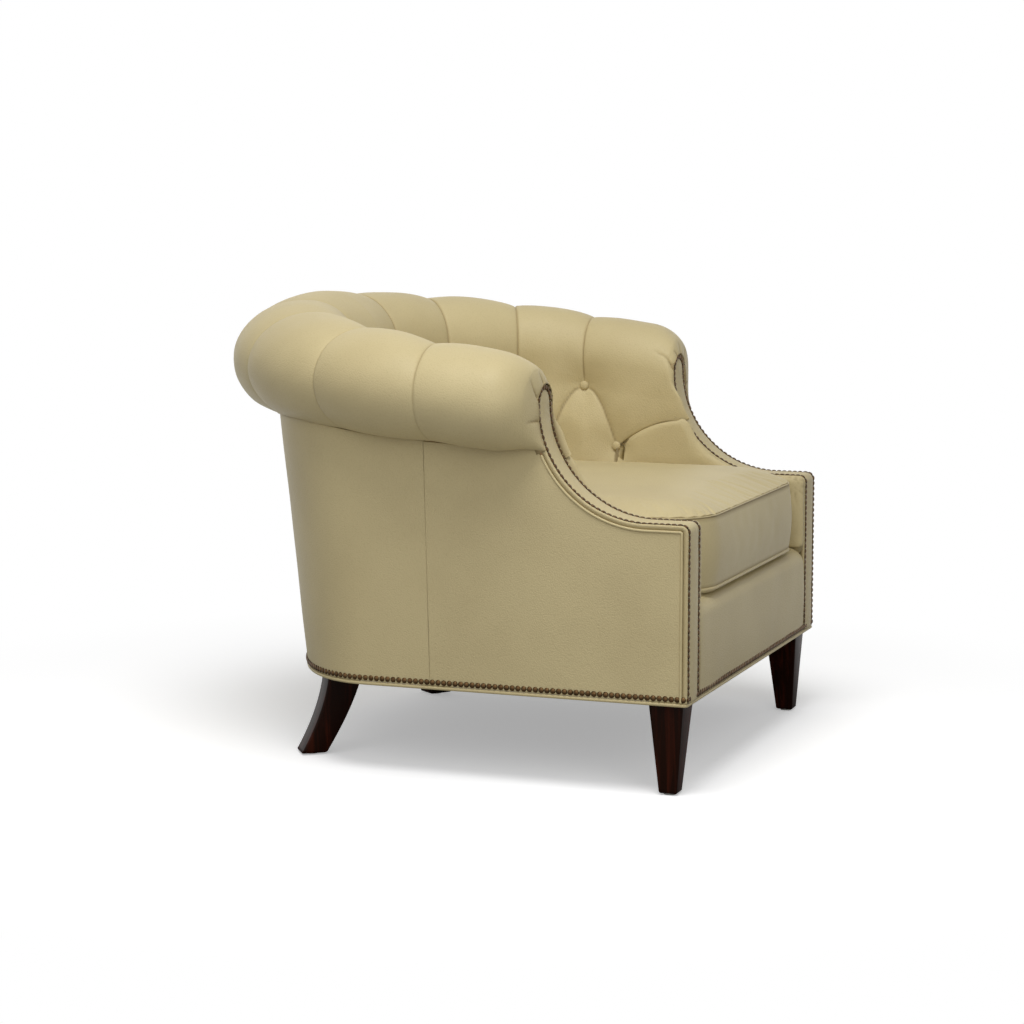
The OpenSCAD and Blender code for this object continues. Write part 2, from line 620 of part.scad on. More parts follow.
module inside_arm() {
    lip_x = arm_in_x - touch;
    inner_x = seat_r + move_gap;
    low = deck_z + touch;
    // Rows of position across, depth below the facing's face and draw-in along the seam
    lip = [[lip_x, 1.5, 0], [lip_x - 5, 2, 0], [lip_x - 10, 5, 1], [inner_x, 12, 4]];
    tops = [for (q = lip) arm_top(q[1], q[2])];
    difference() {
        union() {
            skin([for (k = [len(tops[0]) - 1:-1:0]) concat([[lip_x, tops[0][k][0], low]],
                [for (j = [0:3]) [lip[j][0], tops[j][k][0], tops[j][k][1]]],
                [[inner_x, tops[3][k][0], low]])], fan = true);
            arm_slab(lip_x, post_x - post_w - touch, facing_t + touch);
            arm_slab(post_x - post_w - touch, board_x - frame_t - touch, post_y + post_d + touch);
        }
        translate([0, seam_y, lower_z(lower_turns[0])]) rotate([0, 90, 0])
            cylinder(d = button_d + 10, h = seat_r + tuft_depth, $fn = 32);
    }
}
module inside_arm_left() color(leather) set_back() inside_arm();
module inside_arm_right() color(leather) set_back() mirror([1, 0, 0]) inside_arm();

// Outside panels
function panel_top(t) = tuck_z(t) - touch;
seam_base_y = 423;
seam_top_y = 433;
module outside_back_panel() color(leather) set_back() {
    first = asin((seam_top_y - roll_side) / roll_reach);
    skin([for (k = [0:40]) let (t = mix(first, 180 - first, k / 40), z1 = panel_top(t),
            s = k == 0 || k == 40 ? seam_top_y - seam_base_y : 0)
        [for (q = [[-panel_t, body_z], [-panel_t, z1], [0, z1], [0, body_z]])
            let (p = place(t, [reach(t, q[1]) + q[0], q[1]]))
            [p[0], p[1] - s * (z1 - q[1]) / (z1 - body_z), p[2]]]]);
}
module outside_arm() across(body_r - panel_t, body_r) intersection() {
    ys = concat([roll_tip_y], arm_steps, [seam_top_y]);
    scoop_area(facing_t + 2 * arm_welt_r + touch, seam_top_y, body_z, roll_z_front);
    polygon(concat([[0, body_z], [seam_base_y, body_z]],
        [for (k = [len(ys) - 1:-1:0]) [ys[k], panel_top(turn_of(ys[k]))]], [[0, panel_top(turn_of(roll_tip_y))]]));
}
module outside_arm_left() color(leather) set_back() outside_arm();
module outside_arm_right() color(leather) set_back() mirror([1, 0, 0]) outside_arm();

// Arm facing: a padded strip that follows post, level, scoop and tip
module arm_facing() intersection() {
    across(arm_in_x, body_r) difference() {
        scoop_area(0, scoop_back + facing_t, body_z, tip_z);
        scoop_area(facing_t, scoop_back + facing_t + 1, body_z - 1, tip_z + 1);
    }
    union() {
        translate([arm_in_x - 1, -1, 0]) cube([facing_w + 2, scoop_back + facing_t + 2, tip_z - facing_w / 2]);
        translate([arm_in_x + facing_w / 2, -1, tip_z - facing_w / 2]) rotate([-90, 0, 0])
            cylinder(d = facing_w, h = scoop_back + facing_t + 2, $fn = 64);
    }
}
module arm_facing_left() color(leather) set_back() arm_facing();
module arm_facing_right() color(leather) set_back() mirror([1, 0, 0]) arm_facing();

// Piping between facing and outside panel
module arm_welt() {
    d = facing_t + arm_welt_r + touch / 2;
    x = body_r - 0.3;
    top = panel_top(turn_of(scoop_back)) - 2;
    arc = asin((scoop_z - top) / (scoop_r + d));
    translate([x, d, body_z]) cylinder(r = arm_welt_r, h = arm_h - d - body_z, $fn = 24);
    translate([x, d, arm_h - d]) sphere(r = arm_welt_r, $fn = 24);
    translate([x, d, arm_h - d]) rotate([-90, 0, 0]) cylinder(r = arm_welt_r, h = scoop_front - d, $fn = 24);
    translate([x, scoop_front, scoop_z]) rotate([90, 0, 90]) rotate([0, 0, -90])
        rotate_extrude(angle = 90 - arc, $fn = 96) translate([scoop_r + d, 0]) circle(r = arm_welt_r, $fn = 24);
}
module arm_welt_left() color(welt_leather) set_back() arm_welt();
module arm_welt_right() color(welt_leather) set_back() mirror([1, 0, 0]) arm_welt();

// Round piping along a closed plan outline
function ring_along(points, k, r, z, sides) =
    let (n = len(points), a = points[(k + n - 1) % n], b = points[k], c = points[(k + 1) % n],
         d = unit(unit(b - a) + unit(c - b)), out = [d[1], -d[0]],
         stretch = 1 / max(0.5, cos(acos(clamp(unit(b - a) * unit(c - b), -1, 1)) / 2)))
    [for (j = [0:sides - 1]) let (w = 360 * j / sides)
        [b[0] + out[0] * r * cos(w) * stretch, b[1] + out[1] * r * cos(w) * stretch, z + r * sin(w)]];
module piping(points, r, z, sides = 8) skin([for (k = [0:len(points) - 1]) ring_along(points, k, r, z, sides)], true);

module base_welt() color(welt_leather) set_back() {
    inset = base_welt_r - 1;
    front = [for (x = [1, 0.5, 0, -0.5, -1]) [x * (body_r - inset), inset]];
    side = [for (f = [0.25, 0.5, 0.75]) f * body_side];
    piping(concat(front, [for (y = side) [-(body_r - inset), y]], base_curve(inset, 44),
        [for (k = [2:-1:0]) [body_r - inset, side[k]]]), base_welt_r, leg_h + base_welt_r);
}

// Covered buttons, square to the wall that they are drawn into, each with the shank that ties it down
button_t = 6;
button_seat = 11.5;
shank_d = 3;
shank_gap = 1.7;
module button_at(t, z, depth) {
    p = place(t, [depth, z]);
    n = roll_normal(t);
    translate(p) rotate([0, 0, atan2(-n[1], -n[0])]) rotate([0, 90, 0]) {
        translate([0, 0, shank_gap - button_seat]) cylinder(d = shank_d, h = button_seat, $fn = 16);
        cylinder(d = button_d, h = button_t - 2, $fn = 32);
        translate([0, 0, button_t - 2]) cylinder(d1 = button_d, d2 = button_d - 5, h = 2, $fn = 32);
    }
}
function wall_offset(t, z) = let (up_row = upper_z(t), f = clamp((z - wall_turn_z) / (up_row - wall_turn_z), 0, 1))
    -mix(seat_in(t), roll_in(t), f * f) + tuft_depth - button_seat;
module buttons_upper() color(leather) set_back()
    for (t = seams) button_at(t, upper_z(t), wall_offset(t, upper_z(t)));
module buttons_lower() color(leather) set_back()
    for (t = lower_turns) button_at(t, lower_z(t), wall_offset(t, lower_z(t)));

// Loose seat cushion: crowned top, boxing that swells between its pipings, soft lower face
function cushion_curve(inset) =
    let (a = seat_r - inset, r = cushion_corner_r - inset, b = seat_depth - seat_side - inset)
    concat([for (f = [0.5, 0, -0.5]) [f * (seat_r - cushion_corner_r), inset]],
        [for (k = [0:6]) let (w = 90 * k / 6) [-(a - r + r * sin(w)), inset + r - r * cos(w)]],
        [for (f = [0.33, 0.67]) [-a, mix(cushion_corner_r, seat_side, f)]],
        [for (k = [0:20]) let (w = 180 * k / 20) [-a * cos(w), seat_side + b * sin(w)]],
        [for (f = [0.67, 0.33]) [a, mix(cushion_corner_r, seat_side, f)]],
        [for (k = [6:-1:0]) let (w = 90 * k / 6) [a - r + r * sin(w), inset + r - r * cos(w)]]);
cushion_mid = [0, seat_depth * 0.47];
module seat_cushion() color(leather) set_back() {
    notch = 2 * cushion_welt_r + touch;
    half = cushion_welt_r + touch;
    // Rows of inset, forward swell and height, from the lower face up to the upper piping
    rows = [[34, 0, deck_z + touch], [notch, 0, cushion_low_z - half], [notch, 0, cushion_low_z + half],
        [0, 0, cushion_low_z + half], [0, cushion_bulge, mix(cushion_low_z, cushion_high_z, 0.3)],
        [0, cushion_bulge, mix(cushion_low_z, cushion_high_z, 0.7)], [0, 0, cushion_high_z - half],
        [notch, 0, cushion_high_z - half], [notch, 0, cushion_high_z + half]];
    walls = [for (q = rows) [for (p = cushion_curve(cushion_clear + q[0]))
        let (push = p[1] < cushion_corner_r ? q[1] * (1 - p[1] / cushion_corner_r) : 0)
        [p[0], p[1] - push, q[2]]]];
    edge = cushion_curve(cushion_clear + notch);
    rise = cushion_crown - half;
    crown = [for (s = [0.08, 0.2, 0.36, 0.55, 0.75, 0.9]) [for (p = edge) let (q = mix(p, cushion_mid, s))
        [q[0], q[1], cushion_high_z + half + rise * sin(90 * pow(s, 0.6))]]];
    skin(concat(walls, crown), fan = true);
}
module cushion_welt_high() color(welt_leather) set_back()
    piping(cushion_curve(cushion_clear + cushion_welt_r), cushion_welt_r, cushion_high_z, 6);
module cushion_welt_low() color(welt_leather) set_back()
    piping(cushion_curve(cushion_clear + cushion_welt_r), cushion_welt_r, cushion_low_z, 6);

leg_front_left();
leg_front_right();
leg_back_left();
leg_back_right();
glides();
leg_plates();
hanger_bolts();
seat_rail_front();
seat_rail_left();
seat_rail_right();
seat_rail_back();
corner_blocks();
arm_post_left();
arm_post_right();
arm_board_left();
arm_board_right();
top_rail();
back_posts();
back_webbing();
seat_springs();
spring_clips();
spring_ties();
seat_deck();
dust_cover();
front_rail_cover();
inside_back();
inside_arm_left();
inside_arm_right();
outside_back_panel();
outside_arm_left();
outside_arm_right();
arm_facing_left();
arm_facing_right();
arm_welt_left();
arm_welt_right();
base_welt();
buttons_upper();
buttons_lower();
seat_cushion();
cushion_welt_high();
cushion_welt_low();
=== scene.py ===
"""Tufted leather club chair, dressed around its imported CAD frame.

Lengths below are millimetres and depths count from the front plane of the chair, as in the
part's source; in_frame() turns them into the metres of the shared frame. The chair faces -Y.
"""
import json
import math

import bpy
import numpy as np
from bpy.props import FloatProperty, FloatVectorProperty, PointerProperty
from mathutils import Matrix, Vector


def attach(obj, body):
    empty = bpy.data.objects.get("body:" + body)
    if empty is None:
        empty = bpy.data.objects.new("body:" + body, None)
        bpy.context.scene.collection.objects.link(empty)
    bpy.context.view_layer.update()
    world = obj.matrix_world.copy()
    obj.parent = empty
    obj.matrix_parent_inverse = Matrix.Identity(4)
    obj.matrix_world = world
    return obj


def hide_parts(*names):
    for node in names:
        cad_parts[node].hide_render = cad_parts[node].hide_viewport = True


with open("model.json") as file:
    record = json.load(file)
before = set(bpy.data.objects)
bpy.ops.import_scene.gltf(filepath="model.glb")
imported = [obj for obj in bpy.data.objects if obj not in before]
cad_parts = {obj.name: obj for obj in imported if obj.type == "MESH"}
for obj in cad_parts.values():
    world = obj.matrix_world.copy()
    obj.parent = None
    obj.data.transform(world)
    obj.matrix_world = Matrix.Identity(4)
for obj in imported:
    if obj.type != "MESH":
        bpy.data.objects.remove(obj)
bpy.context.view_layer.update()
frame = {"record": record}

bl_info = {
    "name": "Tufted leather club chair",
    "version": (1, 0, 0),
    "blender": (4, 5, 0),
    "location": "View3D > Sidebar > Chair",
    "description": "Builds the leather, padding, nails, legs and studio of a tufted club chair",
    "category": "Object",
}

# ---- sizes of the chair, in millimetres -------------------------------------------------
BODY_R, BODY_SIDE, BODY_DEPTH, BACK_LEAN = 386.0, 537.0, 747.0, 51.0
LEG_H, BODY_Z, PANEL_T = 144.0, 150.3, 3.0
ROLL_R, ROLL_SIDE, ROLL_REACH = 380.0, 413.0, 357.0
SEAT_R, SEAT_SIDE, SEAT_DEPTH = 306.0, 390.0, 620.0
ARM_H, SCOOP_BACK, SCOOP_FRONT, CORNER_R = 424.0, 243.0, 67.0, 12.0
SCOOP_R = SCOOP_BACK - SCOOP_FRONT
SCOOP_Z = ARM_H + SCOOP_R
FACING_W, FACING_T, TIP_Z = 65.0, 8.0, 630.0
FACING_X = BODY_R - FACING_W / 2
TIP_R = FACING_W / 2
TIP_MID_Z = TIP_Z - TIP_R
DECK_Z, LOW_SEAM_Z, HIGH_SEAM_Z = 299.0, 306.0, 421.0
CUSHION_CORNER_R, CUSHION_CLEAR = 95.0, 1.5
NAIL_LINE, NAIL_PITCH, BASE_NAIL_Z = 26.0, 9.55, 155.9
ARM_INNER_X, INNER_X, BUTTON_SINK = 321.0, 306.5, 16.0
WALL_TURN_Z, END_L, WALL_POINTS = 430.0, 62.0, 98
SECTION_LOW = 252.0
# the cushion's upright band and its top (the top in metres), and the dust cover's two faces
BOXING_LOW_Z, BOXING_HIGH_Z, CUSHION_TOP = 309.5, 417.5, 0.4558
COVER_LOW_Z, COVER_HIGH_Z = 151.9, 152.8
# a back leg: its corner at the foot, how far it sweeps out, and the section's two directions
BACK_LEG, SPLAY = np.array([303.0, 685]), 48
ACROSS, ALONG = np.array([-0.8, 0.6]), np.array([-0.6, -0.8])
# how far a button's valley reaches, the cap on the valleys before creases are added to them, and
# the crease depth that gives a seam its full painted shade
TUFT_REACH, DEPTH_LIMIT, FULL_CREASE = 140, 24, 2.2
SEAM_Y, SEAM_LOW_Z, SEAM_HIGH_Y, SEAM_HIGH_Z = 349.0, 462.0, 222.0, 515.0
ROLL_SEAMS = np.array([0.0, 23, 49, 74, 106, 131, 157, 180])
FRONT_Y = -((CUSHION_CLEAR - 5 * (1 - CUSHION_CLEAR / CUSHION_CORNER_R)) + 894) / 2
MM_PER_DEG = (ROLL_R + ROLL_REACH) / 2 * math.pi / 180
TIP_TURN = (ROLL_SIDE - SCOOP_BACK + 15) / MM_PER_DEG
FRONT_TURN = (ROLL_SIDE - SEAM_Y) / MM_PER_DEG
LOW_BUTTONS = np.array([-FRONT_TURN, 11.5, 36, 61.5, 90, 118.5, 144, 168.5, 180 + FRONT_TURN])


def linear(red, green, blue):
    """Screen colour, 0 to 255, to the linear values that a shader reads."""
    c = np.array([red, green, blue]) / 255
    return tuple(np.where(c <= 0.04045, c / 12.92, ((c + 0.055) / 1.055) ** 2.4)) + (1.0,)


# ---- what a user may change -------------------------------------------------------------
class LeatherLook(bpy.types.PropertyGroup):
    """Colour and grain of the leather"""
    tone: FloatVectorProperty(name="Leather", description="Colour of the leather", subtype="COLOR",
                              size=4, min=0, max=1, default=linear(196, 181, 138))
    # the deep tone is the pores' own colour and also the painted shade in creases, seams and hollows
    deep_tone: FloatVectorProperty(name="Creases", description="Colour in pores and creases",
                                   subtype="COLOR", size=4, min=0, max=1, default=linear(134, 114, 78))
    grain_size: FloatProperty(name="Grain size", description="Width of one pebble of the grain",
                              default=0.0023, min=0.001, max=0.01, unit="LENGTH")
    grain_depth: FloatProperty(name="Grain depth", description="Height of the pebbled grain",
                               default=0.0003, min=0, max=0.003, unit="LENGTH")


class PaddingShape(bpy.types.PropertyGroup):
    """Depths of tufts, seams and crown"""
    tuft: FloatProperty(name="Tuft depth", description="How deep a button is drawn in",
                        default=0.017, min=0, max=0.022, unit="LENGTH")
    channel: FloatProperty(name="Channel depth", description="Depth of a seam over the roll",
                           default=0.0045, min=0, max=0.012, unit="LENGTH")
    crown: FloatProperty(name="Cushion crown",
                         description="Height of the cushion's crown above its upper seam",
                         default=0.034, min=0.015, max=0.045, unit="LENGTH")


class TrimLook(bpy.types.PropertyGroup):
    """Nails and legs"""
    nail_width: FloatProperty(name="Nail head", description="Diameter of a nail head",
                              default=0.0095, min=0.006, max=0.013, unit="LENGTH")
    brass: FloatVectorProperty(name="Brass", description="Colour of the nail heads", subtype="COLOR",
                               size=4, min=0, max=1, default=linear(92, 70, 46))
    wood: FloatVectorProperty(name="Wood", description="Ground colour of the legs", subtype="COLOR",
                              size=4, min=0, max=1, default=linear(28, 10, 3))
    wood_streak: FloatVectorProperty(name="Wood streaks", description="Colour of the figure in the legs",
                                     subtype="COLOR", size=4, min=0, max=1, default=linear(60, 22, 9))


class StudioLook(bpy.types.PropertyGroup):
    """Camera and light"""
    azimuth: FloatProperty(name="Azimuth", description="Camera bearing round the chair",
                           default=math.radians(-69.5), subtype="ANGLE")
    elevation: FloatProperty(name="Elevation", description="Camera height angle",
                             default=math.radians(7.34), subtype="ANGLE")
    distance: FloatProperty(name="Distance", description="Camera to target", default=4.2829, min=1,
                            unit="LENGTH")
    key_power: FloatProperty(name="Key light", description="Power of the overhead light",
                             default=62, min=0, unit="POWER")
    front_power: FloatProperty(name="Front light", description="Power of the light at the camera's side",
                               default=26, min=0, unit="POWER")
    side_power: FloatProperty(name="Side light", description="Power of the high side light", default=12,
                              min=0, unit="POWER")
    fill_power: FloatProperty(name="Fill light", description="Power of the low side light", default=8, min=0,
                              unit="POWER")
    ambient: FloatProperty(name="Ambient", description="Strength of the world light", default=0.22, min=0,
                           max=2)


SETTINGS = {"chair_leather": LeatherLook, "chair_padding": PaddingShape,
            "chair_trim": TrimLook, "chair_studio": StudioLook}


# ---- meshes -----------------------------------------------------------------------------
def in_frame(points):
    """Millimetres from the front plane to metres in the shared frame."""
    moved = np.array(points, float)
    moved[..., 1] += FRONT_Y
    return moved * 0.001


def put_mesh(name, points, quads, tris=None, seam=None):
    """One closed mesh from points in metres. Faces are turned over if they enclose a negative
    volume, the sum of the signed tetrahedra between each triangle and the origin."""
    quads = np.asarray(quads, np.int64).reshape(-1, 4)
    tris = np.zeros((0, 3), np.int64) if tris is None else np.asarray(tris, np.int64).reshape(-1, 3)
    parts = np.concatenate([quads[:, [0, 1, 2]], quads[:, [0, 2, 3]], tris])
    a, b, c = (points[parts[:, k]] for k in range(3))
    if np.einsum("ij,ij->i", a, np.cross(b, c)).sum() < 0:
        quads, tris = quads[:, ::-1], tris[:, ::-1]
    mesh = bpy.data.meshes.new(name)
    mesh.vertices.add(len(points))
    mesh.vertices.foreach_set("co", points.astype(np.float32).ravel())
    loops = np.concatenate([quads.ravel(), tris.ravel()])
    mesh.loops.add(len(loops))
    mesh.loops.foreach_set("vertex_index", loops.astype(np.int32))
    starts = np.concatenate([np.arange(len(quads)) * 4, len(quads) * 4 + np.arange(len(tris)) * 3])
    mesh.polygons.add(len(starts))
    mesh.polygons.foreach_set("loop_start", starts.astype(np.int32))
    mesh.update(calc_edges=True)
    mesh.validate()
    mesh.polygons.foreach_set("use_smooth", np.ones(len(mesh.polygons), bool))
    # the seam attribute: painted shade in creases, seams and hollows on the leather, patina at the rims of
    # the nails
    if seam is not None:
        mesh.attributes.new("seam", "FLOAT", "POINT").data.foreach_set("value",
                np.clip(seam, 0, 1).astype(np.float32))
    piece = bpy.data.objects.new(name, mesh)
    bpy.context.scene.collection.objects.link(piece)
    return piece


def shell_faces(rows, columns, ring=False, first=0):
    """Quads over a grid that closes across its columns, and fans that close both ends."""
    i, j = np.meshgrid(np.arange(rows if ring else rows - 1), np.arange(columns), indexing="ij")
    k, m = (i + 1) % rows, (j + 1) % columns
    quads = np.stack([i * columns + j, i * columns + m, k * columns + m, k * columns + j], -1).reshape(-1, 4)
    if ring:
        return quads + first, np.zeros((0, 3), np.int64)
    a = np.arange(columns)
    b = (a + 1) % columns
    last = (rows - 1) * columns
    tris = np.concatenate([np.stack([b, a, np.full(columns, rows * columns)], -1),
                           np.stack([last + a, last + b, np.full(columns, rows * columns + 1)], -1)])
    return quads + first, tris + first


def shell(name, rings, ring=False, seam=None):
    """Closed skin through rings, an array of rows by columns by 3 in millimetres."""
    rings = in_frame(rings)
    rows, columns = rings.shape[:2]
    quads, tris = shell_faces(rows, columns, ring)
    points = rings.reshape(-1, 3)
    if not ring:
        points = np.concatenate([points, rings[0].mean(0)[None], rings[-1].mean(0)[None]])
    if seam is not None:
        seam = np.concatenate([np.asarray(seam, float).ravel(), np.zeros(len(points) - rows * columns)])
    return put_mesh(name, points, quads, tris, seam)


def copies(name, template, centres, ups, overs, ring_size, seam=None):
    """The same small turned form at many places: template rows are rings of ring_size points
    (across, along, up); each place gives a centre, an up direction and a direction across."""
    sides = np.cross(ups, overs)
    basis = np.stack([overs, sides, ups], 1)
    points = centres[:, None, :] + np.einsum("pk,nkj->npj", template, basis)
    rows = (len(template) - 2) // ring_size
    quads, tris = shell_faces(rows, ring_size)
    step = len(template) * np.arange(len(centres))[:, None, None]
    value = None if seam is None else np.tile(seam, len(centres))
    return put_mesh(name, in_frame(points.reshape(-1, 3)), (quads[None] + step).reshape(-1, 4),
                    (tris[None] + step).reshape(-1, 3), value)


def turned(profile, around):
    """Rings of a profile of (radius, height) rows, turned about the up axis, and its two poles."""
    profile = np.array(profile, float)
    w = np.arange(around) * 2 * np.pi / around
    rings = np.stack([profile[:, :1] * np.cos(w), profile[:, :1] * np.sin(w),
                      np.repeat(profile[:, 1:], around, 1)], -1).reshape(-1, 3)
    ends = np.array([[0, 0, profile[0, 1]], [0, 0, profile[-1, 1]]])
    return np.concatenate([rings, ends])


def at_height(plan, z):
    """Plan points with one height: x, y, z."""
    return np.column_stack([plan, np.full(len(plan), z)])


def points_of(piece):
    """The piece's own vertices, in metres, one row each."""
    flat = np.empty(len(piece.data.vertices) * 3)
    piece.data.vertices.foreach_get("co", flat)
    return flat.reshape(-1, 3)


def tube(name, path, radius, sides, axis, ring=False, seam=None):
    """Round tube along a path in a plane square to axis: each ring stands on the axis and on
    the cross product of the path's direction with it."""
    path = np.asarray(path, float)
    if ring:
        ahead = np.roll(path, -1, 0) - np.roll(path, 1, 0)
    else:
        ahead = np.gradient(path, axis=0)
    ahead /= np.linalg.norm(ahead, axis=1)[:, None]
    axis = np.broadcast_to(np.asarray(axis, float), path.shape)
    out = np.cross(ahead, axis)
    out /= np.linalg.norm(out, axis=1)[:, None]
    w = np.arange(sides) * 2 * np.pi / sides
    rings = path[:, None] + radius * (np.cos(w)[None, :, None] * out[:, None] + np.sin(w)[None, :, None]
                                      * axis[:, None])
    return shell(name, rings, ring, seam)


def resample(points, step, ring=False):
    """Points at even spacing along a polyline, by interpolating its running length."""
    points = np.asarray(points, float)
    if ring:
        points = np.concatenate([points, points[:1]])
    run = np.concatenate([[0], np.cumsum(np.linalg.norm(np.diff(points, axis=0), axis=1))])
    count = max(2, int(round(run[-1] / step)))
    at = np.linspace(0, run[-1], count + 1)
    even = np.stack([np.interp(at, run, points[:, k]) for k in range(points.shape[1])], 1)
    return even[:-1] if ring else even


def waves(points, size, seed):
    """Slow unevenness: a sum of six sine waves of unlike directions and lengths about size."""
    rng = np.random.default_rng(seed)
    total = np.zeros(points.shape[:-1])
    for direction, phase, scale in zip(rng.normal(size=(6, 3)), rng.uniform(0, 6.28, 6),
                                       rng.uniform(0.7, 1.6, 6)):
        direction /= np.linalg.norm(direction)
        total += np.sin(points @ direction * (6.28 / (size * scale)) + phase)
    return total / 3.5


def normals_of(grid):
    """Unit normals of a grid of points, from the cross product of its two gradients."""
    n = np.cross(np.gradient(grid, axis=1), np.gradient(grid, axis=0))
    return n / np.maximum(np.linalg.norm(n, axis=-1, keepdims=True), 1e-9)


def sided(name, side):
    """Name of one of a pair: positive is the sitter's left."""
    return name + ("_left" if side > 0 else "_right")


def mirrored(points):
    return points * np.array([-1, 1, 1.0])


# ---- the chair's own curves -------------------------------------------------------------
def mix(a, b, f):
    """Straight blend from a to b by f."""
    return a + (b - a) * f


def bell(x, width):
    """One at zero, falling as exp(-(x / width) ** 2)."""
    return np.exp(-(x / width) ** 2)


def step_up(x, low, high):
    f = np.clip((x - low) / (high - low), 0, 1)
    return f * f * (3 - 2 * f)


def roll_line(t):
    """Plan point and outward normal of the roll's centre line: straight arms, then half an
    ellipse of half width 380 and depth 357 behind depth 413; t counts degrees round it."""
    t = np.asarray(t, float)
    a = np.radians(np.clip(t, 0, 180))
    x = -ROLL_R * np.cos(a)
    y = ROLL_SIDE + ROLL_REACH * np.sin(a) + np.where(t < 0, t, np.where(t > 180, 180 - t, 0)) * MM_PER_DEG
    n = np.stack([-ROLL_REACH * np.cos(a), ROLL_R * np.sin(a)], -1)
    return np.stack([x, y], -1), n / np.linalg.norm(n, axis=-1, keepdims=True)


def backness(t):
    return np.clip(1 - np.abs(np.asarray(t, float) - 90) / (90 + TIP_TURN), 0, 1)


def roll_z(t): return mix(593, 647, 1 - (1 - backness(t)) ** 2)
def roll_out(t): return mix(90, 124, backness(t))
def roll_rise(t): return mix(72, 99, backness(t))
def roll_drop(t): return roll_rise(t) - 8 * step_up(SCOOP_BACK + 70 - roll_line(t)[0][..., 1], 0, 60)
def roll_in(t): return np.maximum(mix(50, 100, backness(t)), 66 - 5 * backness(t))
def upper_z(t): return roll_z(t) - 45
def lower_z(t): return SEAM_LOW_Z + 15 * backness(t)


def body_reach(t, z):
    """Distance from a roll point along its normal to the outside of the body at a height."""
    p, n = roll_line(t)
    lean = BACK_LEAN * (z - LEG_H) / (545 - LEG_H)
    side_y, back_y = BODY_SIDE + lean / 2, BODY_DEPTH + lean
    straight = np.where(np.abs(n[..., 0]) > 1e-3, (BODY_R - np.abs(p[..., 0]))
                        / np.maximum(np.abs(n[..., 0]), 1e-3), 1e4)
    a, b, q = BODY_R, back_y - side_y, p[..., 1] - side_y
    k2 = (n[..., 0] / a) ** 2 + (n[..., 1] / b) ** 2
    k1 = 2 * (p[..., 0] * n[..., 0] / a ** 2 + q * n[..., 1] / b ** 2)
    k0 = (p[..., 0] / a) ** 2 + (q / b) ** 2 - 1
    curve = (-k1 + np.sqrt(np.maximum(k1 * k1 - 4 * k2 * k0, 0))) / (2 * k2)
    return np.where(p[..., 1] + straight * n[..., 1] <= side_y, straight, curve)


def under_z(t, o):
    return roll_z(t) - roll_drop(t) * np.sqrt(1 - np.clip(o / roll_out(t), -1, 1) ** 2)


def tuck_z(t):
    """Height at which the outside panel goes under the roll, found by three steps."""
    z = under_z(t, body_reach(t, roll_z(t) - roll_drop(t)))
    for _ in range(2):
        z = under_z(t, body_reach(t, z))
    return z


def seat_in(t):
    """Distance from a roll point inwards to the seat outline."""
    p, n = roll_line(t)
    n = -n
    a, b, q = SEAT_R, SEAT_DEPTH - SEAT_SIDE, p[..., 1] - SEAT_SIDE
    k2 = (n[..., 0] / a) ** 2 + (n[..., 1] / b) ** 2
    k1 = 2 * (p[..., 0] * n[..., 0] / a ** 2 + q * n[..., 1] / b ** 2)
    k0 = (p[..., 0] / a) ** 2 + (q / b) ** 2 - 1
    root = k1 * k1 - 4 * k2 * k0
    curve = (-k1 - np.sqrt(np.maximum(root, 0))) / (2 * k2)
    straight = (np.abs(p[..., 0]) - SEAT_R) / np.maximum(np.abs(n[..., 0]), 1e-3)
    return np.where((root > 0) & (p[..., 1] + curve * n[..., 1] >= SEAT_SIDE), curve, straight)


def seam_z(y):
    """Curved seam between the tufting and the inside arm: a parabola from the facing down to
    the front button of the lower row."""
    share = np.clip((y - SEAM_HIGH_Y) / (SEAM_Y - SEAM_HIGH_Y), 0, 1)
    return SEAM_HIGH_Z - (SEAM_HIGH_Z - SEAM_LOW_Z) * share ** 2


def wall_offset(t, z):
    """How far the inside wall stands in front of the roll's centre line: from the seat outline
    back to the roll's inner face, by f squared times 2 - f of the height."""
    f = np.clip((z - WALL_TURN_Z) / (upper_z(t) - WALL_TURN_Z), 0, 1)
    return -mix(seat_in(t), roll_in(t), f * f * (2 - f))


def on_wall(t, z):
    """Point of the inside wall at a turn and a height."""
    p, n = roll_line(t)
    o = wall_offset(t, z)
    return np.stack([p[..., 0] + n[..., 0] * o, p[..., 1] + n[..., 1] * o, z + 0 * o], -1)


def band_depth(z):
    """Depth of the facing's face at a height: upright above the scoop, then its circle."""
    low = np.clip(SCOOP_Z - z, 0, SCOOP_R)
    return SCOOP_FRONT + np.sqrt(SCOOP_R ** 2 - low ** 2)


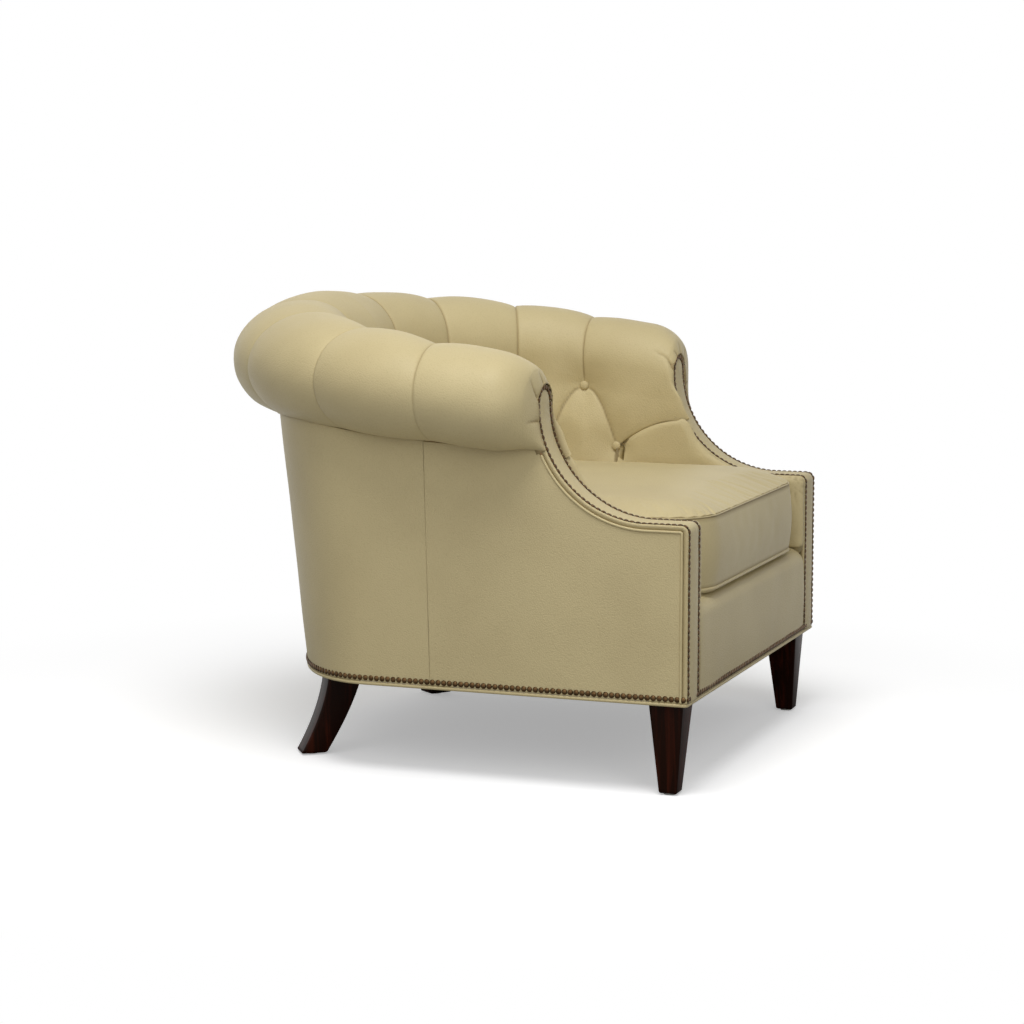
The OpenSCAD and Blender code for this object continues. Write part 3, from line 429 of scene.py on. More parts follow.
def facing_path(step=2.3):
    """Depth, height, outward normal and run along the face of an arm facing, from the base up
    the post, round the corner, along the level, round the scoop and up to the tip."""
    a = np.radians(np.linspace(0, 90, 9))
    b = np.radians(np.linspace(0, 90, 400))
    g = np.radians(np.linspace(0, 88, 26))
    tip = TIP_MID_Z + TIP_R * np.sin(g)
    pieces = [
        np.stack([0 * a, mix(BODY_Z, ARM_H - CORNER_R, a / a[-1])], 1),
        np.stack([CORNER_R * (1 - np.cos(a)), ARM_H - CORNER_R + CORNER_R * np.sin(a)], 1)[1:],
        np.stack([mix(CORNER_R, SCOOP_FRONT, a / a[-1]), 0 * a + ARM_H], 1)[1:],
        np.stack([SCOOP_FRONT + SCOOP_R * np.sin(b), SCOOP_Z - SCOOP_R * np.cos(b)], 1)[1:],
    ]
    line = np.concatenate(pieces)
    line = resample(line[line[:, 1] <= TIP_MID_Z + 0.01], step)
    line = np.concatenate([line, np.stack([band_depth(tip), tip], 1)[1:]])
    y, z = line[:, 0], line[:, 1]
    ahead = np.gradient(line, axis=0)
    ahead /= np.linalg.norm(ahead, axis=1)[:, None]
    normal = np.stack([-ahead[:, 1], ahead[:, 0]], 1)
    run = np.concatenate([[0], np.cumsum(np.linalg.norm(np.diff(line, axis=0), axis=1))])
    return y, z, normal, run


# ---- materials --------------------------------------------------------------------------
def group(name, inputs, outputs):
    """Shader node group with named inputs and outputs."""
    tree = bpy.data.node_groups.new(name, "ShaderNodeTree")
    for label, kind, value in inputs:
        socket = tree.interface.new_socket(label, in_out="INPUT", socket_type=kind)
        if value is not None:
            socket.default_value = value
    for label, kind in outputs:
        tree.interface.new_socket(label, in_out="OUTPUT", socket_type=kind)
    return tree, tree.nodes.new("NodeGroupInput").outputs, tree.nodes.new("NodeGroupOutput").inputs


def add(tree, kind, values=None, **settings):
    """A node with its settings and socket values; a value that is a socket gets linked."""
    made = tree.nodes.new(kind)
    for key, value in settings.items():
        setattr(made, key, value)
    for key, value in (values or {}).items():
        if isinstance(value, bpy.types.NodeSocket):
            tree.links.new(value, made.inputs[key])
        else:
            made.inputs[key].default_value = value
    return made


def sums(tree, operation, a, b, clamp=False):
    """One Math node."""
    return add(tree, "ShaderNodeMath", {0: a, 1: b}, operation=operation, use_clamp=clamp).outputs[0]


def blended(tree, factor, a, b, kind="MIX"):
    """One Mix node for colours."""
    made = add(tree, "ShaderNodeMix", data_type="RGBA", blend_type=kind)
    for key, value in ((0, factor), (6, a), (7, b)):
        if isinstance(value, bpy.types.NodeSocket):
            tree.links.new(value, made.inputs[key])
        else:
            made.inputs[key].default_value = value
    return made.outputs[2]


def ramp(tree, value, low, high):
    """Map Range from low to high onto 0 to 1."""
    return add(tree, "ShaderNodeMapRange", {"Value": value, "From Min": low, "From Max": high},
               interpolation_type="SMOOTHSTEP").outputs[0]


def leather_group():
    """Pebbled grain: Voronoi cells on warped coordinates, finer noise on top, and a
    slow change of tone; the seam attribute paints shade into creases, seams and hollows, towards the deep
    tone."""
    tree, given, result = group(
        "pebbled leather",
        [("Place", "NodeSocketVector", None), ("Tone", "NodeSocketColor", (0.6, 0.5, 0.3, 1)),
         ("Deep", "NodeSocketColor", (0.3, 0.22, 0.1, 1)), ("Seam", "NodeSocketFloat", 0.0),
         ("Scale", "NodeSocketFloat", 220.0), ("Rough", "NodeSocketFloat", 0.5)],
        [("Color", "NodeSocketColor"), ("Roughness", "NodeSocketFloat"), ("Height", "NodeSocketFloat")])
    warp = add(tree, "ShaderNodeTexNoise", {"Vector": given["Place"], "Scale": 150.0, "Detail": 0.0})
    shift = add(tree, "ShaderNodeVectorMath", {0: warp.outputs["Color"], 1: (0.002, 0.002, 0.002)},
                operation="MULTIPLY")
    place = add(tree, "ShaderNodeVectorMath", {0: given["Place"], 1: shift.outputs[0]}, operation="ADD")
    pebble = add(tree, "ShaderNodeTexVoronoi", {"Vector": place.outputs[0], "Scale": given["Scale"]})
    fine = add(tree, "ShaderNodeTexNoise", {"Vector": given["Place"], "Scale": 900.0, "Detail": 0.0})
    slow = add(tree, "ShaderNodeTexNoise", {"Vector": given["Place"], "Scale": 6.0, "Detail": 3.0})
    mound = sums(tree, "SUBTRACT", 1.0, pebble.outputs["Distance"])
    worn = ramp(tree, slow.outputs["Fac"], 0.35, 0.7)
    height = sums(tree, "ADD", mound, sums(tree, "MULTIPLY", fine.outputs["Fac"], 0.2))
    pores = ramp(tree, pebble.outputs["Distance"], 0.5, 0.85)
    tone = blended(tree, sums(tree, "MULTIPLY", pores, 0.07), given["Tone"], given["Deep"])
    tone = blended(tree, sums(tree, "MULTIPLY", worn, 0.12), tone, given["Deep"])
    # painted shade: the seam attribute blends the tone towards the deep tone in creases, seams and hollows
    tone = blended(tree, sums(tree, "MULTIPLY", given["Seam"], 0.95, True), tone, given["Deep"])
    rough = sums(tree, "ADD", given["Rough"], sums(tree, "MULTIPLY", fine.outputs["Fac"], 0.12))
    rough = sums(tree, "ADD", rough, sums(tree, "MULTIPLY", given["Seam"], 0.15))
    tree.links.new(tone, result["Color"])
    tree.links.new(rough, result["Roughness"])
    tree.links.new(height, result["Height"])
    return tree


def wood_group():
    """Straight figure: noise on coordinates stretched along Z, with fine pores."""
    tree, given, result = group(
        "straight grained wood",
        [("Place", "NodeSocketVector", None), ("Ground", "NodeSocketColor", (0.02, 0.01, 0.005, 1)),
         ("Streak", "NodeSocketColor", (0.1, 0.03, 0.01, 1)), ("Length", "NodeSocketVector", (70, 70, 4)),
         ("Rough", "NodeSocketFloat", 0.35)],
        [("Color", "NodeSocketColor"), ("Roughness", "NodeSocketFloat"), ("Height", "NodeSocketFloat")])
    place = add(tree, "ShaderNodeVectorMath", {0: given["Place"], 1: given["Length"]}, operation="MULTIPLY")
    figure = add(tree, "ShaderNodeTexNoise", {"Vector": place.outputs[0], "Scale": 1.0, "Detail": 5.0,
            "Distortion": 0.6})
    pore = add(tree, "ShaderNodeTexNoise", {"Vector": place.outputs[0], "Scale": 9.0, "Detail": 2.0})
    streak = ramp(tree, figure.outputs["Fac"], 0.45, 0.72)
    shade = blended(tree, streak, given["Ground"], given["Streak"])
    shade = blended(tree, sums(tree, "MULTIPLY", ramp(tree, pore.outputs["Fac"], 0.5, 0.75), 0.3), shade,
                    given["Ground"])
    tree.links.new(shade, result["Color"])
    tree.links.new(sums(tree, "ADD", given["Rough"], sums(tree, "MULTIPLY", pore.outputs["Fac"], 0.15)),
                   result["Roughness"])
    tree.links.new(sums(tree, "ADD", figure.outputs["Fac"],
                        sums(tree, "MULTIPLY", pore.outputs["Fac"], 0.5)), result["Height"])
    return tree


def weave_group():
    """Woven bands: the product of two sine waves across and along, broken by noise."""
    tree, given, result = group(
        "woven threads",
        [("Place", "NodeSocketVector", None), ("Thread", "NodeSocketColor", (0.3, 0.2, 0.1, 1)),
         ("Gap", "NodeSocketColor", (0.1, 0.07, 0.03, 1)), ("Scale", "NodeSocketFloat", 1500.0),
         ("Rough", "NodeSocketFloat", 0.8)],
        [("Color", "NodeSocketColor"), ("Roughness", "NodeSocketFloat"), ("Height", "NodeSocketFloat")])
    scaled = add(tree, "ShaderNodeVectorMath", {0: given["Place"]}, operation="SCALE")
    tree.links.new(given["Scale"], scaled.inputs["Scale"])
    parts = add(tree, "ShaderNodeSeparateXYZ", {0: scaled.outputs[0]})
    across = sums(tree, "SINE", sums(tree, "ADD", parts.outputs[0], parts.outputs[2]), 0.0)
    along = sums(tree, "SINE", sums(tree, "SUBTRACT", parts.outputs[1], parts.outputs[2]), 0.0)
    height = sums(tree, "ADD", sums(tree, "MULTIPLY", sums(tree, "MULTIPLY", across, along), 0.5), 0.5)
    noise = add(tree, "ShaderNodeTexNoise", {"Vector": given["Place"], "Scale": 160.0, "Detail": 3.0})
    tone = blended(tree, sums(tree, "MULTIPLY", sums(tree, "ADD", height, noise.outputs["Fac"]), 0.5, True),
                   given["Gap"], given["Thread"])
    tree.links.new(tone, result["Color"])
    tree.links.new(sums(tree, "ADD", given["Rough"], sums(tree, "MULTIPLY", noise.outputs["Fac"], 0.15)),
                   result["Roughness"])
    tree.links.new(height, result["Height"])
    return tree


def metal_group():
    """Aged metal: polished ground with darker patina in blotches and in the seam attribute."""
    tree, given, result = group(
        "aged metal",
        [("Place", "NodeSocketVector", None), ("Bright", "NodeSocketColor", (0.5, 0.4, 0.2, 1)),
         ("Patina", "NodeSocketColor", (0.1, 0.05, 0.02, 1)), ("Seam", "NodeSocketFloat", 0.0),
         ("Scale", "NodeSocketFloat", 120.0), ("Rough", "NodeSocketFloat", 0.35)],
        [("Color", "NodeSocketColor"), ("Roughness", "NodeSocketFloat"), ("Height", "NodeSocketFloat")])
    blotch = add(tree, "ShaderNodeTexNoise", {"Vector": given["Place"], "Scale": given["Scale"],
            "Detail": 4.0})
    fine = add(tree, "ShaderNodeTexNoise", {"Vector": given["Place"], "Scale": 900.0, "Detail": 2.0})
    aged = sums(tree, "ADD", sums(tree, "MULTIPLY", ramp(tree, blotch.outputs["Fac"], 0.42, 0.7), 0.4),
                given["Seam"], True)
    tree.links.new(blended(tree, aged, given["Bright"], given["Patina"]), result["Color"])
    tree.links.new(sums(tree, "ADD", given["Rough"], sums(tree, "MULTIPLY", aged, 0.25)), result["Roughness"])
    tree.links.new(sums(tree, "ADD", sums(tree, "MULTIPLY", fine.outputs["Fac"], 0.4),
                        blotch.outputs["Fac"]), result["Height"])
    return tree


def finish_material(name, tree, values, bump, strength=0.6, seam=False, **shader):
    """A Principled material fed by one of the groups above; plain numbers go on the shader."""
    if name in bpy.data.materials:
        return bpy.data.materials[name]
    made = bpy.data.materials.new(name)
    made.use_nodes = True
    nodes = made.node_tree
    surface = next(n for n in nodes.nodes if n.type == "BSDF_PRINCIPLED")
    place = add(nodes, "ShaderNodeTexCoord")
    body = add(nodes, "ShaderNodeGroup", node_tree=tree)
    nodes.links.new(place.outputs["Object"], body.inputs["Place"])
    for key, value in values.items():
        body.inputs[key].default_value = value
    # the seam attribute feeds the group: painted shade for the leather, patina for the nails
    if seam:
        mark = add(nodes, "ShaderNodeAttribute", attribute_name="seam")
        nodes.links.new(mark.outputs["Fac"], body.inputs["Seam"])
    raised = add(nodes, "ShaderNodeBump", {"Strength": strength, "Distance": bump,
                                           "Height": body.outputs["Height"]})
    nodes.links.new(body.outputs["Color"], surface.inputs["Base Color"])
    nodes.links.new(body.outputs["Roughness"], surface.inputs["Roughness"])
    nodes.links.new(raised.outputs["Normal"], surface.inputs["Normal"])
    for key, value in shader.items():
        surface.inputs[key.replace("_", " ")].default_value = value
    made.diffuse_color = tuple(values.get("Tone", values.get("Ground",
            values.get("Bright", values.get("Thread")))))
    return made


def finishes():
    """Every finish of the chair, by the name of the record's material slot."""
    look, trim = bpy.context.scene.chair_leather, bpy.context.scene.chair_trim
    trees = bpy.data.node_groups
    grain = trees.get("pebbled leather") or leather_group()
    wood = trees.get("straight grained wood") or wood_group()
    weave = trees.get("woven threads") or weave_group()
    metal = trees.get("aged metal") or metal_group()
    tone, deep = tuple(look.tone), tuple(look.deep_tone)
    light = tuple(min(1, c * 1.02) for c in tone[:3]) + (1.0,)
    scale = 1 / look.grain_size
    return {
        "leather": finish_material("khaki leather", grain,
                                   {"Tone": tone, "Deep": deep, "Scale": scale, "Rough": 0.40},
                                   look.grain_depth, 1.0, True, Specular_IOR_Level=0.2),
        "piping": finish_material("piping leather", grain,
                                  {"Tone": light, "Deep": deep, "Scale": scale * 1.6, "Rough": 0.40},
                                  look.grain_depth * 0.4, 0.5, True, Specular_IOR_Level=0.2),
        "dark_wood": finish_material("espresso wood", wood,
                                     {"Ground": tuple(trim.wood), "Streak": tuple(trim.wood_streak),
                                                           "Length": (95, 95,
                                                                   5), "Rough": 0.24}, 0.00012, 0.35,
                                     Specular_IOR_Level=0.06, Coat_Weight=0.01, Coat_Roughness=0.2),
        "beech": finish_material("beech frame", wood, {"Ground": linear(206, 172, 126),
                "Streak": linear(176, 134, 88),
                                                     "Length": (60, 60, 5), "Rough": 0.5}, 0.0002, 0.4),
        "nail_brass": finish_material("antique brass", metal,
                                      {"Bright": tuple(trim.brass), "Patina": linear(16, 11, 7),
                                                              "Scale": 140.0, "Rough": 0.34},
                                       0.0001, 0.3, True, Metallic=1.0),
        "steel": finish_material("drawn steel", metal, {"Bright": linear(168, 170, 174),
                "Patina": linear(96, 94, 92),
                                                      "Scale": 60.0, "Rough": 0.34},
                                       0.0001, 0.3, Metallic=1.0),
        "glide": finish_material("nickel glide", metal, {"Bright": linear(186, 184, 178),
                "Patina": linear(110, 106, 100),
                                                       "Scale": 90.0, "Rough": 0.28},
                                       0.0001, 0.3, Metallic=1.0),
        "webbing": finish_material("jute webbing", weave,
                                   {"Thread": linear(196, 164, 112), "Gap": linear(120, 92, 56),
                                                         "Scale": 1800.0}, 0.0006),
        "black_cloth": finish_material("black lining", weave,
                                       {"Thread": linear(46, 45, 48), "Gap": linear(20, 20, 22),
                                                              "Scale": 3600.0}, 0.0003),
    }


def dress(piece, slot, body="chair", replaces=()):
    """Gives a piece its finish, its body and the CAD nodes it stands for."""
    piece.data.materials.clear()
    piece.data.materials.append(finishes()[slot])
    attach(piece, body)
    if replaces:
        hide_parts(*replaces)
    return piece


# ---- the tufted inside back and its roll ------------------------------------------------
def distance_to_path(points, path):
    """Distance of each point to a polyline and the share of its length at the nearest place."""
    best = np.full(len(points), 1e9)
    share = np.zeros(len(points))
    for k in range(len(path) - 1):
        d = path[k + 1] - path[k]
        f = np.clip((points - path[k]) @ d / (d @ d), 0, 1)
        gap = np.linalg.norm(points - path[k] - f[:, None] * d, axis=1)
        near = gap < best
        best[near], share[near] = gap[near], (k + f[near]) / (len(path) - 1)
    return best, share


def roll_stations():
    """Degrees round the roll: 3.1 mm apart, closing to 1.2 mm beside each channel seam."""
    t = np.linspace(-(ROLL_SIDE - 253) / MM_PER_DEG, 180 + (ROLL_SIDE - 253) / MM_PER_DEG, 30001)
    gap = np.abs(t[:, None] - ROLL_SEAMS).min(1) * MM_PER_DEG
    density = 1 / (3.1 - 1.9 * bell(gap, 6))
    run = np.concatenate([[0], np.cumsum((density[1:] + density[:-1]) / 2 * np.diff(t) * MM_PER_DEG)])
    return np.interp(np.linspace(0, run[-1], int(run[-1])), run, t)


def roll_sections(t):
    """Sections square to the roll's line, as offsets and heights: up the wall in three parts,
    round the roll as an ellipse to where it meets the outside panel, then the hidden slot for
    the frame. Returns them with the count of visible points."""
    t = t[:, None]
    y = roll_line(t)[0][..., 1]
    front = y < SEAM_Y
    z0 = np.where(front, seam_z(y) + 0.3, SECTION_LOW)
    zb = np.where(front, seam_z(y) + 2.5, SEAM_LOW_Z + 2.5)
    zc, up = roll_z(t), upper_z(t)
    low = mix(z0, zb, np.linspace(0, 1, 34)[None, :-1])
    high = mix(zb, up, np.linspace(0, 1, 52)[None, :-1])
    top = mix(up, zc, np.linspace(0, 1, 15)[None, :-1])
    wall_z = np.concatenate([low, high, top], 1)
    wall_o = wall_offset(t, wall_z)
    tuck = tuck_z(t)
    outer = body_reach(t, tuck) + 0.3
    last = -np.arccos(np.clip(outer / roll_out(t), -1, 1))
    w = mix(np.pi, last, np.linspace(0, 1, 125)[None])
    cap_o = np.where(np.cos(w) < 0, roll_in(t), roll_out(t)) * np.cos(w)
    cap_z = zc + np.where(w > 0, roll_rise(t), roll_drop(t)) * np.sin(w)
    slot_top = zc - 2.1
    slot_out = body_reach(t, zc - 25.5) - 2.0
    lining = 31.4
    hidden_o = np.concatenate([slot_out, slot_out, body_reach(t, slot_top) - lining, body_reach(t, z0)
                               - lining], 1)
    hidden_z = np.concatenate([tuck, slot_top, slot_top, z0], 1)
    o = np.concatenate([wall_o, cap_o], 1)
    z = np.concatenate([wall_z, cap_z], 1)
    visible = o.shape[1]
    for _ in range(6):
        o[:, 60:-1] = (o[:, 59:-2] + 2 * o[:, 60:-1] + o[:, 61:]) / 4
        z[:, 60:-1] = (z[:, 59:-2] + 2 * z[:, 60:-1] + z[:, 61:]) / 4
    return np.concatenate([o, hidden_o], 1), np.concatenate([z, hidden_z], 1), visible


def tuft_seams():
    """The sewn lines of the wall: two curved legs from each upper button to the lower row,
    their sideways share is the square root of the drop, a short seam below each lower button and
    the curved seam towards the facing. Each is a path of points and its strength at both ends."""
    q = np.linspace(0, 1, 15)
    paths = []
    for k, t in enumerate(ROLL_SEAMS):
        for lower in (LOW_BUTTONS[k], LOW_BUTTONS[k + 1]):
            turn = t + (lower - t) * q ** 0.5
            paths.append((on_wall(turn, mix(upper_z(t), lower_z(lower), q)), 0.9, 1.15))
    for t in LOW_BUTTONS:
        paths.append((on_wall(t + 0 * q, mix(lower_z(t), WALL_TURN_Z - 25, q)), 0.9, 0.5))
    y = mix(SEAM_HIGH_Y - 12, SEAM_Y, q)
    front = on_wall((y - ROLL_SIDE) / MM_PER_DEG, seam_z(y))
    paths.append((front, 0.25, 1.1))
    paths.append((mirrored(front), 0.25, 1.1))
    return paths


def tufted_surface(grid, t, visible, tuft, channel):
    """Draws seams, channels and buttons into the wall and roll. Depth below the padding is the
    fourth-power sum of a wide valley, strength times exp(-distance / width), for every seam
    and button; its greatest depth is eased off as 24 tanh(depth / 24). A narrow crease is
    added, and the padding between them swells a little. A belly, a bell of the height above
    the lower row, draws the wall in, and fades out beside the arms."""
    points = grid[:, :visible].reshape(-1, 3)
    stations = np.repeat(np.arange(len(t)), visible)
    turn = t[stations]
    metric = np.linalg.norm(np.gradient(grid[:, :visible], axis=0), axis=-1) / np.abs(np.gradient(t))[:, None]
    metric = metric.ravel()
    column = np.tile(np.arange(visible), len(t))
    total = np.zeros(len(points))
    crease = np.zeros(len(points))
    nearest = np.full(len(points), 1e9)
    ledge = np.zeros(len(points))
    on_roll = step_up(column, WALL_POINTS - 16, WALL_POINTS - 8)
    outer = step_up(column, WALL_POINTS + 55, WALL_POINTS + 95)
    for seam in ROLL_SEAMS:
        gap = (turn - seam) * metric
        use = (np.abs(gap) < 90) & (column > WALL_POINTS - 16)
        d = np.abs(gap[use])
        below = np.linalg.norm(points[use] - on_wall(seam, upper_z(seam)), axis=1)
        far = backness(seam)
        strength = channel * mix(1, 0.45 + 0.45 * far, outer[use]) + 9.0 * np.exp(-below / 34)
        valley = on_roll[use] * strength * np.exp(-d / 13)
        total[use] += valley ** 4
        crease[use] = np.maximum(crease[use], on_roll[use] * mix(1.4, 0.35 + 0.75 * far, outer[use])
                                 * bell(d, 1.5))
        nearest[use] = np.minimum(nearest[use], d + 60 * (1 - on_roll[use]))
        step = on_roll[use] * 1.0 * np.sign(gap[use]) * np.exp(-d / 9)
        ledge[use] += step * (1 - np.exp(-d / 1.2)) * np.sign(90.01 - seam)
    for path, first, second in tuft_seams():
        low, high = path.min(0) - 75, path.max(0) + 75
        use = np.all((points > low) & (points < high), axis=1) & (column < WALL_POINTS + 8)
        d, share = distance_to_path(points[use], path)
        strength = mix(first, second, share)
        valley = strength * 15.0 * (1 - 0.3 * np.sin(np.pi * share)) * np.exp(-d / 17)
        total[use] += valley ** 4
        crease[use] = np.maximum(crease[use], 1.6 * np.minimum(strength, 1) * bell(d, 1.5))
        nearest[use] = np.minimum(nearest[use], d)
    for marks, row in ((ROLL_SEAMS, upper_z), (LOW_BUTTONS, lower_z)):
        for mark in marks:
            centre = on_wall(mark, row(mark))
            r = np.linalg.norm(points - centre, axis=1)
            use = r < TUFT_REACH
            fade = 1 - step_up(r[use], 95, 138)
            total[use] += (tuft * 1.15 * np.exp(-(r[use] / 26) ** 1.15) * fade) ** 4
            if row is lower_z:
                high = np.maximum(points[use, 2] - centre[2], 0)
                long = np.sqrt(np.maximum(r[use] ** 2 - 0.4 * high ** 2, 0))
                wide = 15.0 if mark in (LOW_BUTTONS[0], LOW_BUTTONS[-1]) else 22.0
                total[use] += (wide * np.exp(-(long / 36) ** 1.8) * fade) ** 4
            else:
                total[use] += (12.0 * np.exp(-(r[use] / 46) ** 1.5) * fade) ** 4
            crease[use] = crease[use] * (1 - np.exp(-(r[use] / 11) ** 4))
    row_gap = points[:, 2] - (lower_z(turn) - 6)
    belly = 10.0 * bell(row_gap, 22) * (column < WALL_POINTS) * step_up(np.minimum(turn, 180 - turn), 2, 16)
    depth = DEPTH_LIMIT * np.tanh((total + belly ** 4) ** 0.25 / DEPTH_LIMIT)
    depth = depth - 4.0 * (1 - bell(np.minimum(nearest, 90), 42))
    edge = 1 - step_up(column, visible - 14, visible - 1)
    depth = depth * mix(0.35, 1, edge) + crease * mix(0.3, 1, edge) + ledge * edge
    front = np.abs(turn - 90) > 90 + FRONT_TURN - 0.5
    depth = depth * np.where(front, 1, step_up(column, 0, 10))
    depth += 0.55 * waves(points, 70, 3) * edge
    normals = normals_of(grid)[:, :visible].reshape(-1, 3)
    outwards = np.sign(np.sum(normals[visible * (len(t) // 2) + WALL_POINTS + 30] * np.array([0, 0, 1.0])))
    moved = grid.copy()
    moved[:, :visible] -= (normals * (depth * outwards)[:, None]).reshape(len(t), visible, 3)
    # painted shade: each narrow crease is darkened in proportion to its depth
    seam = np.zeros(grid.shape[:2])
    seam[:, :visible] = (crease / FULL_CREASE).reshape(len(t), visible)
    return moved, seam


def facing_outline(section, visible):
    """Where each point of an end section meets its facing: equal shares of the way up the
    inner side, over the tip's half circle and down the outer side."""
    band_r = TIP_R + 0.8
    x, z = np.abs(section[:visible, 0]), section[:visible, 2]
    run = np.concatenate([[0], np.cumsum(np.hypot(np.diff(x), np.diff(z)))])
    top = np.interp(TIP_MID_Z, z[:WALL_POINTS], run[:WALL_POINTS])
    leg_in, arch, leg_out = TIP_MID_Z - z[0], np.pi * band_r, TIP_MID_Z - z[-1]
    along = np.interp(run, [0, top, run[-1] - 120, run[-1]],
                      [0, leg_in, leg_in + arch, leg_in + arch + leg_out])
    w = np.pi - np.clip((along - leg_in) / band_r, 0, np.pi)
    out_z = TIP_MID_Z - np.maximum(along - leg_in - arch, 0)
    high = np.where(along < leg_in, z[0] + along, np.where(along > leg_in + arch, out_z, TIP_MID_Z + band_r
            * np.sin(w)))
    side = np.sign(section[0, 0])
    return np.stack([side * (FACING_X + band_r * np.cos(w)), band_depth(high), high], 1)


def rounding(behind):
    """Angle of a quarter ellipse END_L long at a distance behind the facing."""
    return np.arcsin(np.clip(1 - behind / END_L, 0, 1))


def rounded_ends(grid, t, visible):
    """Draws the roll in towards its facings: the share of the way to the facing's outline is
    one minus the cosine of the rounding angle, and little of it along the wall."""
    column = np.arange(visible)
    weight = mix(0.12, 1.0, step_up(column, 84, 118))
    shaped = grid.copy()
    for end in (0, -1):
        rows = np.where(np.abs(t - t[end]) * MM_PER_DEG < END_L)[0]
        aim = facing_outline(grid[end], visible)
        share = 1 - np.cos(rounding(grid[rows][:, :visible, 1] - aim[None, :, 1]))
        move = aim - grid[end, :visible]
        move[:, 1] = 0
        shaped[rows[:, None], column] += (share * weight)[..., None] * move[None]
    return shaped


def gathered_end(section, seam, visible):
    """Rings that close the end of the roll round the tip of its facing. Over the top and outside
    the quarter ellipse of rounded_ends goes on to the facing's outline and ends a lip's height
    proud of it; on the inner side a point swells forward as a sine. Both then go behind it.
    The strip that closes the ring across the facing keeps 14 mm behind the facing's curve."""
    count = len(section)
    side = np.sign(section[0, 0])
    local = section * np.array([side, 1, 1])
    target = facing_outline(section, visible) * np.array([side, 1, 1])
    f = np.linspace(0, 1, count - visible + 2)[1:-1, None]
    strip = mix(target[-1], target[0], f)
    strip[:, 1] = band_depth(strip[:, 2]) + 14
    target = np.concatenate([target, strip])
    nz = np.clip(SCOOP_Z - target[:, 2], 0, SCOOP_R) / SCOOP_R
    forward = np.stack([0 * nz, -np.sqrt(1 - nz ** 2), nz], 1)
    share = np.arange(count) / (visible - 1.0)
    over = step_up(share, 0.38, 0.50)
    start = local.copy()
    start[:, 1] = mix(band_depth(np.minimum(local[:, 2], 700)) + 4, local[:, 1], over)
    start[visible:, 1] = np.maximum(start[visible:, 1], 252)
    z = target[:, 2]
    inner = mix(12.5, 3.4, step_up(z, 545, 588)) * step_up(share, -0.02, 0.05)
    lip = 1.2 + 2.6 * bell(z - 588, 17) + 1.6 * step_up(z, 606, 626)
    lip = lip * (1 - step_up(share, 0.86, 0.98)) * (share <= 1)
    inner = inner * (share <= 1)
    first = np.minimum(rounding(local[:, 1] - target[:, 1]), 1.4)
    rings, marks = [], []
    for g in np.linspace(0, 1, 30):
        swelling = start + (target - start) * (1 - np.cos(np.pi * g / 2))
        swelling += forward * (inner * (np.sin(np.pi * g) ** 0.8 if 0 < g < 1 else 0.0))[:, None]
        angle = mix(first, np.pi / 2, g)
        inward = 1 - np.cos(angle) / np.cos(first)
        ahead = (np.sin(angle) - np.sin(first)) / (1 - np.sin(first))
        going = start + (target - start) * np.column_stack([inward, ahead, inward])
        going += forward * (lip * g ** 3)[:, None]
        rings.append(mix(swelling, going, over[:, None]))
        # painted shade: the rings darken as they dive behind the facing, and stay dark behind it
        marks.append(mix(seam, 0.7 * g ** 8, g))
    for back in (3.0, 8.0, 17.0):
        ring = target - forward * back
        ring[visible:, 1] = np.maximum(ring[visible:, 1], target[visible:, 1] + back)
        rings.append(ring)
        marks.append(np.full(count, 0.8))
    return (np.array(rings) * np.array([side, 1, 1]))[1:], np.array(marks)[1:]


def gathers(rings, marks, visible, behind=3):
    """Pleats of the roll's ends: each follows the rings outwards from a point on the facing's
    outline; its depth is an exponential of the distance and fades along its length."""
    folds = [(-31, 608, 38, 9, 7.5), (-12, 628, 20, -3, 2.6), (7, 631, 24, 1, 3.0), (31, 608, 26, -5, 3.6),
             (33, 575, 24, 5, 3.0)]
    normals = normals_of(rings)
    middle = len(rings) // 2
    normals = normals * np.sign(normals[middle, 160, 2])
    for base, step in ((behind, 1), (len(rings) - 1 - behind, -1)):
        block = np.arange(0, 80) * step + base - behind * step
        points = rings[block][:, :visible].reshape(-1, 3)
        side = np.sign(rings[base, 0, 0])
        depth, dark = np.zeros(len(points)), np.zeros(len(points))
        for across, high, length, drift, deep in folds:
            spot = np.array([side * (FACING_X + across), high])
            column = np.argmin(np.hypot(*(rings[base, :visible][:, [0, 2]] - spot).T))
            k = np.arange(0, length + 1, 2)
            path = rings[base + step * k, (column + drift * (k / length) ** 1.3).astype(int)]
            d, share = distance_to_path(points, path)
            fade = (1 - share) ** 0.6 * np.minimum(1, 0.45 + share * 4)
            depth = np.maximum(depth, deep * fade * np.exp(-d / 3.8))
            # painted shade along the line of each pleat
            dark = np.maximum(dark, fade * bell(d, 1.7))
        shape = (len(block), visible)
        rings[block[:, None], np.arange(visible)] -= normals[block][:, :visible] * depth.reshape(shape)[...,
                None]
        marks[block[:, None], np.arange(visible)] = np.maximum(marks[block][:, :visible], dark.reshape(shape))
    return rings, marks


def tufted_back():
    """Tufted wall, roll and gathered ends as one padded surface."""
    shape = bpy.context.scene.chair_padding
    t = roll_stations()
    o, z, visible = roll_sections(t)
    p, n = roll_line(t)
    grid = np.stack([p[:, :1] + n[:, :1] * o, p[:, 1:] + n[:, 1:] * o, z], -1)
    grid = rounded_ends(grid, t, visible)
    grid, seam = tufted_surface(grid, t, visible, shape.tuft * 1000, shape.channel * 1000)
    near, near_seam = gathered_end(grid[0], seam[0], visible)
    far, far_seam = gathered_end(grid[-1], seam[-1], visible)
    rings = np.concatenate([near[::-1], grid, far])
    marks = np.concatenate([near_seam[::-1], seam, far_seam])
    rings, marks = gathers(rings, marks, visible)
    return dress(shell("tufted_back_and_roll", rings, seam=marks), "leather", replaces=["inside_back"])


